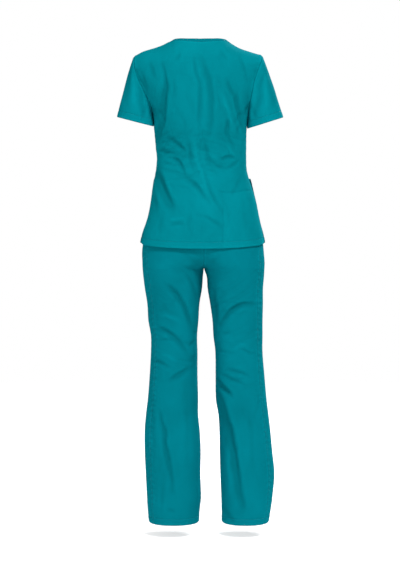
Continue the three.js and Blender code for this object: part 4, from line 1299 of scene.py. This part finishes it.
def armhole_edges(side):
    """The edges of the top's two faces round one armhole."""
    edges = []
    for grid, column in zip((back_grid, front_grid), SIDE_COLUMNS[side]):
        above = grid["points"][:, column, 2] > ARMPIT - 8
        edges.append(edge_of(grid, above, column))
    return edges


def add_sleeve(side, seed):
    point_at = partial(sleeve_point, side)
    turns = even_turns(point_at, SLEEVE_TURNS, v=0.4, always=TIP_AND_ARMPIT[side])
    grid = ring_grid(point_at, turns, (HEM_STEPS, SEAM_STEPS, SLEEVE_ROWS))
    x, y, z = np.moveaxis(grid["points"], -1, 0)
    grid["folds"] = folds_rise(SLEEVE_FOLDS[side], x, z) * ease(0, 34, np.abs(y))
    grid["folds"] += sum(
        rise * soft_noise(x + slant * y, z, cell, seed + index)
        for index, (rise, slant, cell) in enumerate(SLEEVE_WAVES)
    )
    relief = grid["folds"] * ease(0, 18, grid["top"]) * mix(CUFF_CALM, 1, ease(0, 40, grid["bottom"]))
    relief += turned_hem(grid, seed) + sewn_edge(grid["top"])
    relief += puckers(grid["top"], grid["across"], **SLEEVE_PUCKERS, seed=seed + 2)
    from_armpit = np.abs((grid["u"] - TIP_AND_ARMPIT[side][1] + 0.5) % 1 - 0.5)
    swell = bump_at(from_armpit - ARMPIT_SWELL["place"], ARMPIT_SWELL["width"])
    relief += ARMPIT_SWELL["rise"] * swell * ease(0, 12, grid["top"])
    sleeve = make_cloth(f"{side}_sleeve", grid, relief, "top_cloth", hem_layers(grid))
    cut_from(f"sleeve_{side}")
    add_stitches(f"{side}_cuff_stitches", [edge_of(grid, HEM_STITCH_STEP)])
    add_seam(f"{side}_armhole_seam", edge_of(grid, -1), armhole_edges(side), "top_cloth", closed=True)


add_sleeve("left", 41)
add_sleeve("right", 53)


# The front pockets. Two square patches of the same twill low on the front, their mouths turned in and
# stitched down, their other edges pressed under and topstitched twice to the panel.
POCKET_COLUMNS = {"right": (0.02, 0.43), "left": (0.57, 0.98)}
POCKET_GAPE = {"right": 4.0, "left": 0.0}
POCKET_LIFT = 1.5
POCKET_STITCHES = (1.8, 7.2)
POCKET_STEPS = (0, 0.5, 1.2, POCKET_STITCHES[0], 2.4, 3.4, 5.0, 6.4, POCKET_STITCHES[1], 8.0, 10)
MOUTH_TURN = 22
MOUTH_STEPS = (0, 0.5, 1.4, 4, 10, 16, 20, 21.3, MOUTH_TURN, 22.7, 24, 27)
FRONT_POCKET_COLUMNS = 34
FRONT_POCKET_ROWS = 40
STRIP_STEPS = 30
POCKET_EDGE = 0.5
POCKET_PUFF = 0.9
MOUTH_PUFF = 0.6


def pocket_relief(grid, gape=0.0):
    """Turned edges under two rows of stitching, and a mouth that gapes a little at the side seam."""
    sides = np.minimum(np.minimum(grid["first"], grid["last"]), grid["bottom"])
    from_mouth = grid["top"]
    relief = grid["folds"] + folded_edge(sides, POCKET_EDGE) + folded_edge(from_mouth, POCKET_EDGE)
    relief += sum(stitch_groove(sides, distance) for distance in POCKET_STITCHES)
    relief += POCKET_PUFF * ease(8, 30, sides) * ease(0, 10, from_mouth)
    relief += MOUTH_PUFF * (1 - ease(10, 60, from_mouth))
    relief += gape * (1 - ease(0, 75, from_mouth)) * (1 - ease(0, 60, grid["first"]))
    return relief + stitch_groove(from_mouth, MOUTH_TURN)


def distance_to_side(grid, first, last):
    """How far the points of a front pocket lie from the nearer side edge of the panel below it."""
    from_first = first < 0.5
    edges = np.linspace(0, first, STRIP_STEPS) if from_first else 1 - np.linspace(0, 1 - last, STRIP_STEPS)
    strip = arc_lengths(front_pocket_point(edges[None, :], grid["v"][:, :1]), 1)[:, -1:]
    return strip + (grid["first"] if from_first else grid["last"])


def pocket_stitch_lines(grid, mouth_step=None):
    """Two rows of stitching down the sides and along the bottom, and one below the mouth."""
    lines = []
    for distance in POCKET_STITCHES:
        step = POCKET_STEPS.index(distance)
        columns, rows = slice(step, -1 - step), slice(step, None)
        lines.append(edge_of(grid, rows, step))
        lines.append(edge_of(grid, rows, -1 - step))
        lines.append(edge_of(grid, step, columns))
    if mouth_step is not None:
        lines.append(edge_of(grid, -1 - mouth_step, BETWEEN_EDGES))
    return lines


def front_pocket_point(u, v):
    """A point of the front panel below a pocket: v goes from the pocket's bottom to its mouth."""
    return top_point(-1, u, mix(height_share(POCKET_BOTTOM), height_share(POCKET_MOUTH), v))


def add_front_pocket(side):
    first, last = POCKET_COLUMNS[side]
    columns = (POCKET_STEPS, POCKET_STEPS, FRONT_POCKET_COLUMNS)
    rows = (POCKET_STEPS, MOUTH_STEPS, FRONT_POCKET_ROWS)
    grid = lay_out(front_pocket_point, [first, last], [columns], rows)
    x, _, z = np.moveaxis(grid["points"], -1, 0)
    fade = ease(0, 30, distance_to_side(grid, first, last))
    grid["folds"] = (folds_rise(FRONT_FOLDS, x, z) + top_drift(x, z)) * fade
    relief = pocket_relief(grid, POCKET_GAPE[side])
    pocket = make_cloth(f"{side}_front_pocket", grid, relief, "top_cloth", lift=POCKET_LIFT)
    cut_from(f"top_pocket_{side}")
    lines = pocket_stitch_lines(grid, MOUTH_STEPS.index(MOUTH_TURN))
    add_stitches(f"{side}_front_pocket_stitches", lines)


add_front_pocket("right")
add_front_pocket("left")


# The trousers. Four long panels of twill: the fronts wrap round past the sides, so that the outer seams run
# down the backs of the legs. Straight to the knee, flared below it, with a turned-up hem.
WAIST = -445
WAISTBAND_BOTTOM = -485
CROTCH = -702
LEG_HEM = -1498
SIDE_SEAM_AT_HIP = np.pi / 9
SIDE_SEAM_AT_LEG = np.pi / 4.3
SIDE_SEAM_TURNS = (-560, -760)
LEG_POWER = 2.25
LEG_PITCH = 3.3
TROUSER_LEVELS = table(
    "level middle left_out right_out left_in right_in joined back front",
    (-430, -5, 135, 135, 0, 0, 1, 84, 94), (-500, -8, 148, 152, 0, 0, 1, 96, 98),
    (-560, -10, 166, 168, 0, 0, 1, 109, 103), (-595, -11, 182, 177, 0, 0, 0.97, 113, 104),
    (-626, -12, 189, 183.5, 0, 0, 0.82, 115, 104), (-655, -12, 192, 186.5, 0, 0, 0.5, 115, 102),
    (-685, -12, 191, 189, 0, 0, 0.18, 112, 100), (-702, -12, 190.5, 188.5, 0, 0, 0, 109, 98.5),
    (-730, -12, 188, 187, 3, 9, 0, 102, 97), (-766, -12, 183.5, 184, 6, 12, 0, 94, 95),
    (-815, -14, 178, 182, 16, 18, 0, 86, 90), (-865, -15, 176, 180, 20, 24, 0, 79, 83),
    (-914, -16, 169, 179, 25, 26, 0, 73, 77), (-964, -17, 170, 178, 25, 31, 0, 72, 72),
    (-1038, -18, 175, 183, 26, 31, 0, 76, 67), (-1113, -20, 183, 188, 26, 30, 0, 79, 66),
    (-1162, -22, 191, 192, 28, 36, 0, 80, 67), (-1212, -24, 197, 196, 25, 37, 0, 81, 69),
    (-1274, -26, 199, 200, 24, 36, 0, 82, 71), (-1348, -28, 198, 205, 27, 36, 0, 84, 73),
    (-1423, -30, 196, 197, 27, 37, 0, 85, 75), (-1460, -31, 195, 191, 32, 37, 0, 85, 76),
    (-1500, -31, 191, 184, 35, 38, 0, 85, 76),
)


def trouser_level(side, height):
    """The outline of one half of the trousers at a height."""
    joined = np.where(height >= CROTCH, np.clip(read(TROUSER_LEVELS, "joined", height), 0, 1), 0)
    out = read(TROUSER_LEVELS, f"{side}_out", height)
    inner = np.maximum(SEAM_GAP / 2, read(TROUSER_LEVELS, f"{side}_in", height))
    inner = np.where(height >= CROTCH, -joined * out, inner)
    return out, inner, joined


def inner_angle(joined, height):
    meeting = np.where(height > CROTCH, (1 - joined) / (1 + joined), 1)
    return np.arccos(-(meeting ** (LEG_POWER / 2)))


def trouser_point(side, facing, angle, height):
    """A point of one half of the trousers at an angle round it from its outer side, above 0 behind."""
    out, inner, _ = trouser_level(side, height)
    cosine = np.cos(angle)
    share = np.sign(cosine) * np.abs(cosine) ** (2 / LEG_POWER)
    behind = np.where(angle >= 0, 1, -1)
    depth = np.where(angle >= 0, read(TROUSER_LEVELS, "back", height), read(TROUSER_LEVELS, "front", height))
    x = read(TROUSER_LEVELS, "middle", height)
    x = x + SIGN[side] * ((out + inner) / 2 + (out - inner) / 2 * share + SEAM_GAP / 2)
    y = behind * depth * round_depth(share, LEG_POWER) + facing * SEAM_GAP / 2
    return np.stack(np.broadcast_arrays(x, y, height), axis=-1)


def panel_angle(side, facing, turn, height):
    """The angle of a panel's point: turn 0 is its side seam and 1 its inner edge."""
    hip, knee = SIDE_SEAM_TURNS
    seam = mix(SIDE_SEAM_AT_LEG, SIDE_SEAM_AT_HIP, ease(knee, hip, height))
    clearance = SEAM_GAP / 2 / read(TROUSER_LEVELS, "back", height)
    _, _, joined = trouser_level(side, height)
    return mix(seam + facing * clearance, facing * inner_angle(joined, height), turn)


TROUSER_BACK_FOLDS = (
    (98, -748, 50, -786, 22, -884, 7.3, -6.4, 0.3),
    (40, -716, 24, -752, 10, -788, 5, -2.7, 0),
    (128, -884, 84, -900, 38, -962, 6.6, -5.2, 0.2),
    (124, -925, 100, -922, 76, -925, 4.4, -2.1, 0),
    (148, -988, 122, -990, 88, -1006, 5, -2.7, 0),
    (96, -1046, 62, -1022, 28, -1014, 6.6, -4, 0.2),
    (38, -943, 28, -932, 18, -922, 4.4, -1.9, 0),
    (126, -1142, 100, -1240, 82, -1394, 6.6, -5.6, 0.2),
    (96, -1446, 88, -1450, 80, -1452, 5, -1.9, 0),
    (150, -1090, 152, -1180, 146, -1290, 6.6, -2.1, 0),
    (44, -1060, 36, -1180, 40, -1320, 7, -1, 0),
    (112, -1330, 120, -1400, 118, -1470, 6, -1.6, 0),
    (70, -990, 92, -976, 118, -970, 5, 2.1, 0),
    (60, -870, 90, -850, 126, -846, 6.4, 2.2, 0),
    (-60, -884, -98, -798, -172, -808, 6.6, -6, 0.3),
    (-48, -765, -40, -816, -60, -878, 5.9, -3.3, 0),
    (-68, -907, -84, -903, -98, -898, 5, -2.4, 0),
    (-128, -952, -150, -960, -174, -962, 4.4, -2.2, 0),
    (-84, -1019, -116, -1014, -152, -1034, 5.5, -3.3, 0),
    (-70, -1030, -96, -1042, -128, -1058, 5, -3, 0),
    (-50, -1048, -72, -1066, -98, -1092, 6.5, -6, 0.2),
    (-56, -1078, -104, -1240, -134, -1452, 11, -8.5, 0.25),
    (-56, -1056, -84, -1084, -104, -1098, 5, -2.6, 0),
    (-76, -1448, -88, -1474, -114, -1492, 5.9, -2.6, 0),
    (-150, -1110, -160, -1220, -166, -1340, 7, -1, 0),
    (-86, -1240, -84, -1320, -92, -1400, 5.9, 1.9, 0),
    (-90, -960, -120, -944, -148, -938, 5.5, 1.9, 0),
    (60, -640, 30, -668, -2, -690, 6.6, -1, 0),
    (-76, -642, -48, -670, -22, -694, 6.6, -1, 0),
    (100, -690, 60, -712, 24, -712, 6.6, -0.8, 0),
    (-120, -694, -82, -716, -44, -714, 6.6, -0.8, 0),
)
TROUSER_FRONT_FOLDS = (
    (122, -738, 84, -750, 32, -724, 6.9, -4.5, 0),
    (-144, -740, -104, -754, -54, -726, 6.9, -4.5, 0),
    (90, -770, 60, -790, 30, -780, 5.5, -2.6, 0),
    (-110, -774, -80, -792, -50, -782, 5.5, -2.6, 0),
    (130, -928, 86, -960, 38, -946, 6.6, -4.5, 0.2),
    (-72, -942, -112, -974, -162, -948, 6.6, -4.5, 0.2),
    (128, -1004, 96, -1020, 60, -1006, 5.5, -2.7, 0),
    (-84, -1010, -116, -1026, -152, -1010, 5.5, -2.7, 0),
    (98, -1076, 100, -1230, 78, -1404, 6.6, -5.3, 0.2),
    (-102, -1086, -112, -1240, -142, -1414, 6.6, -5.3, 0.2),
    (52, -1120, 46, -1240, 52, -1380, 6.9, -2.6, 0),
    (-150, -1140, -158, -1260, -160, -1390, 6.9, -2.6, 0),
    (90, -600, 60, -650, 34, -690, 5.9, -2.7, 0),
    (-106, -600, -78, -650, -52, -690, 5.9, -2.7, 0),
)
TROUSER_SWELLS = ((0.9, 0.55, 58, 0), (0.35, 0.6, 25, 1))
TROUSER_WAVES = ((0.15, 1, 12, 5),)
TROUSER_CREASES = (
    (-900, -700, 40, 1.4, 75, 15, 34, -34, 2),
    (-1075, -880, 30, 1.7, 55, 13, 10, -10, 4),
    (-1450, -1080, 50, 0.9, 170, 20, 96, 84, 6),
)
TROUSER_MIDDLE = -15


def trouser_drift(x, z, seed):
    """Long low swells over the legs, and fine creases under the seat, behind the knees and down the flare."""
    swells = swelling(TROUSER_SWELLS, x, z, seed) + swelling(TROUSER_WAVES, x, z)
    return swells - creased(TROUSER_CREASES, x, z, TROUSER_MIDDLE, seed)


FACES = {
    "back": {"facing": 1, "columns": 34, "reach": 10, "flat": (0.235, 1.03), "area": 0.195},
    "front": {"facing": -1, "columns": 52, "reach": 26, "flat": (0.34, 1.03), "area": 0.30},
}
LEG_LENGTH = 970
LEG_ROWS = int(LEG_LENGTH / LEG_PITCH)
DRIFT_SEEDS = (61, 71)
ROUND_THE_SIDE = 0.5
UNDER_THE_TOP = (-650, -590, 0.85)
LEG_HEM_CALM = 0.5
OUTER_PUCKERS = {"pitch": 17, "rise": 0.9}
OUTER_PUCKERS_SLANT = 0.45
OUTER_PUCKERS_START = (-600, -680)
INNER_PUCKERS = {"pitch": 15, "rise": 0.4, "reach": 6}
INNER_PULL = (0.4, 8)
FLAT_AT_CROTCH = (-735, -640, 25)


def runs_outwards_in(side, face):
    """Whether a panel's columns run from its outer seam to its inner edge."""
    return (side == "left") == (face == "back")


def leg_angle(side, face, u, v):
    """The angle and height of a leg panel's point: u grows from left to right behind, and back in front."""
    height = mix(LEG_HEM, WAISTBAND_BOTTOM, v)
    turn = u if runs_outwards_in(side, face) else 1 - u
    return panel_angle(side, FACES[face]["facing"], turn, height), height


def leg_point(side, face, u, v):
    u, v = spread(u, v)
    return trouser_point(side, FACES[face]["facing"], *leg_angle(side, face, u, v))


def calm_under_top(z):
    """Folds are low where the top lies over the trousers."""
    start, end, share = UNDER_THE_TOP
    return 1 - share * ease(start, end, z)


def add_leg_panel(side, face, seed):
    """One of the four long panels, its folds chosen by whether the cloth lies behind or in front."""
    cut = FACES[face]
    columns = (SEAM_STEPS, SEAM_STEPS, cut["columns"])
    grid = lay_out(partial(leg_point, side, face), [0, 1], [columns], (HEM_STEPS, PLAIN_STEPS, LEG_ROWS))
    x, _, z = np.moveaxis(grid["points"], -1, 0)
    angle, _ = leg_angle(side, face, grid["u"], grid["v"])
    behind, before = (
        folds_rise(folds, x, z) + trouser_drift(x, z, drift_seed)
        for folds, drift_seed in zip((TROUSER_BACK_FOLDS, TROUSER_FRONT_FOLDS), DRIFT_SEEDS)
    )
    folds = np.where(angle > 0, behind, before) * np.minimum(1, np.abs(np.sin(angle)) / ROUND_THE_SIDE)
    grid["folds"] = folds * calm_under_top(z) * mix(LEG_HEM_CALM, 1, ease(0, 60, grid["bottom"]))
    outwards_in = runs_outwards_in(side, face)
    outer, inner = (grid["first"], grid["last"]) if outwards_in else (grid["last"], grid["first"])
    relief = grid["folds"] + turned_hem(grid, seed)
    relief += sewn_edge(outer) + sewn_edge(inner) * (1 - zone(z, *FLAT_AT_CROTCH))
    slanted = z + OUTER_PUCKERS_SLANT * outer
    drawn = puckers(outer, slanted, **OUTER_PUCKERS, reach=cut["reach"], seed=80 + ord(side[0]))
    relief += drawn * ease(*OUTER_PUCKERS_START, z)
    relief += puckers(inner, z, **INNER_PUCKERS, seed=90 + ord(side[0]))
    grid["pull"] = pulled(outer, 1, cut["reach"]) + pulled(inner, *INNER_PULL)
    if face == "front":
        relief += stitch_groove(outer, EDGE_STITCH) + stitch_groove(outer, TOPSTITCH)
    piece = make_cloth(f"{side}_leg_{face}", grid, relief, "trouser_cloth", hem_layers(grid))
    cut_from(f"leg_{side}_{face}")
    lines = [edge_of(grid, HEM_STITCH_STEP, BETWEEN_EDGES)]
    if face == "front":
        for step in (EDGE_STITCH_STEP, TOPSTITCH_STEP):
            lines.append(edge_of(grid, BETWEEN_EDGES, step if outwards_in else -1 - step))
    add_stitches(f"{side}_leg_{face}_stitches", lines)
    return grid


leg_grids = {
    (side, face): add_leg_panel(side, face, seed)
    for side, seed in (("left", 101), ("right", 113))
    for face in FACES
}


def leg_edge(side, face, inner):
    """The outer or inner edge of a leg panel."""
    return edge_of(leg_grids[side, face], ALL, -1 if runs_outwards_in(side, face) == inner else 0)


for side, other in (("left", "right"), ("right", "left")):
    front_edge = leg_edge(side, "front", inner=False)
    add_seam(f"{side}_outer_leg_seam", leg_edge(side, "back", inner=False), [front_edge], "trouser_cloth")
    for face, joined in (("back", "front"), ("front", "back")):
        met = [leg_edge(side, joined, inner=True), leg_edge(other, face, inner=True)]
        add_seam(f"{side}_inner_{face}_seam", leg_edge(side, face, inner=True), met, "trouser_cloth")


# The waistband. A straight double strip round the top of the trousers with elastic inside, which draws
# it into small even gathers. It lies hidden under the top.
WAISTBAND_TURNS = 300
WAISTBAND_ROWS = 12
WAISTBAND_EDGE = (0, 0.5, 1.2, 2.4)
WAISTBAND_DEPTH = 0.5
GATHER_PITCH = 9.5
GATHER_RISE = 0.45


def waistband_point(turn, v):
    """A point of the waistband: turn goes round it from its left side by way of the back."""
    turn, v = spread(turn, v)
    turn = turn % 1
    height = mix(WAISTBAND_BOTTOM + SEAM_GAP, WAIST, v)
    quarter = np.floor(turn * 4).astype(int) % 4
    within = turn * 4 - np.floor(turn * 4)
    from_side = np.where(quarter % 2 == 0, within, 1 - within) * np.pi / 2
    facing = np.where(quarter < 2, 1, -1)
    left = trouser_point("left", facing, facing * from_side, height)
    right = trouser_point("right", facing, facing * from_side, height)
    is_left = (quarter == 0) | (quarter == 3)
    return np.where(is_left[..., None], left, right)


waist_turns = even_turns(waistband_point, WAISTBAND_TURNS, v=0.5)
waist_grid = ring_grid(waistband_point, waist_turns, (WAISTBAND_EDGE, WAISTBAND_EDGE, WAISTBAND_ROWS))
up_the_band = np.clip(waist_grid["along"] / (WAIST - WAISTBAND_BOTTOM), 0, 1)
waist_relief = np.sin(2 * np.pi * waist_grid["across"] / GATHER_PITCH) * np.sin(np.pi * up_the_band)
waist_relief = GATHER_RISE * waist_relief - WAISTBAND_DEPTH
waist_relief += folded_edge(waist_grid["bottom"], width=1) + folded_edge(waist_grid["top"], width=1)
waistband = make_cloth("waist_band", waist_grid, waist_relief, "trouser_cloth")
cut_from("waistband")


# The back pocket. One patch of twill on the right side of the seat, its top edge caught under the
# waistband, topstitched twice round its other edges.
SEAT_POCKET_TURNS = (7 / 8, 2 / 8)
SEAT_POCKET_BOTTOM = -610
SEAT_POCKET_COLUMNS = 24
SEAT_POCKET_ROWS = 28


def seat_pocket_point(u, v):
    """A point of the right leg's back below the pocket."""
    height, turn = spread(mix(SEAT_POCKET_BOTTOM, WAISTBAND_BOTTOM, v), mix(*SEAT_POCKET_TURNS, u))
    return trouser_point("right", 1, panel_angle("right", 1, turn, height), height)


seat_columns = (POCKET_STEPS, POCKET_STEPS, SEAT_POCKET_COLUMNS)
seat_grid = lay_out(seat_pocket_point, [0, 1], [seat_columns], (POCKET_STEPS, PLAIN_STEPS, SEAT_POCKET_ROWS))
x, _, z = np.moveaxis(seat_grid["points"], -1, 0)
seat_folds = folds_rise(TROUSER_BACK_FOLDS, x, z) + trouser_drift(x, z, DRIFT_SEEDS[0])
seat_grid["folds"] = seat_folds * calm_under_top(z)
seat_relief = pocket_relief(seat_grid)
seat_pocket = make_cloth("seat_pocket", seat_grid, seat_relief, "trouser_cloth", lift=POCKET_LIFT)
cut_from("trouser_pocket")
add_stitches("seat_pocket_stitches", pocket_stitch_lines(seat_grid))
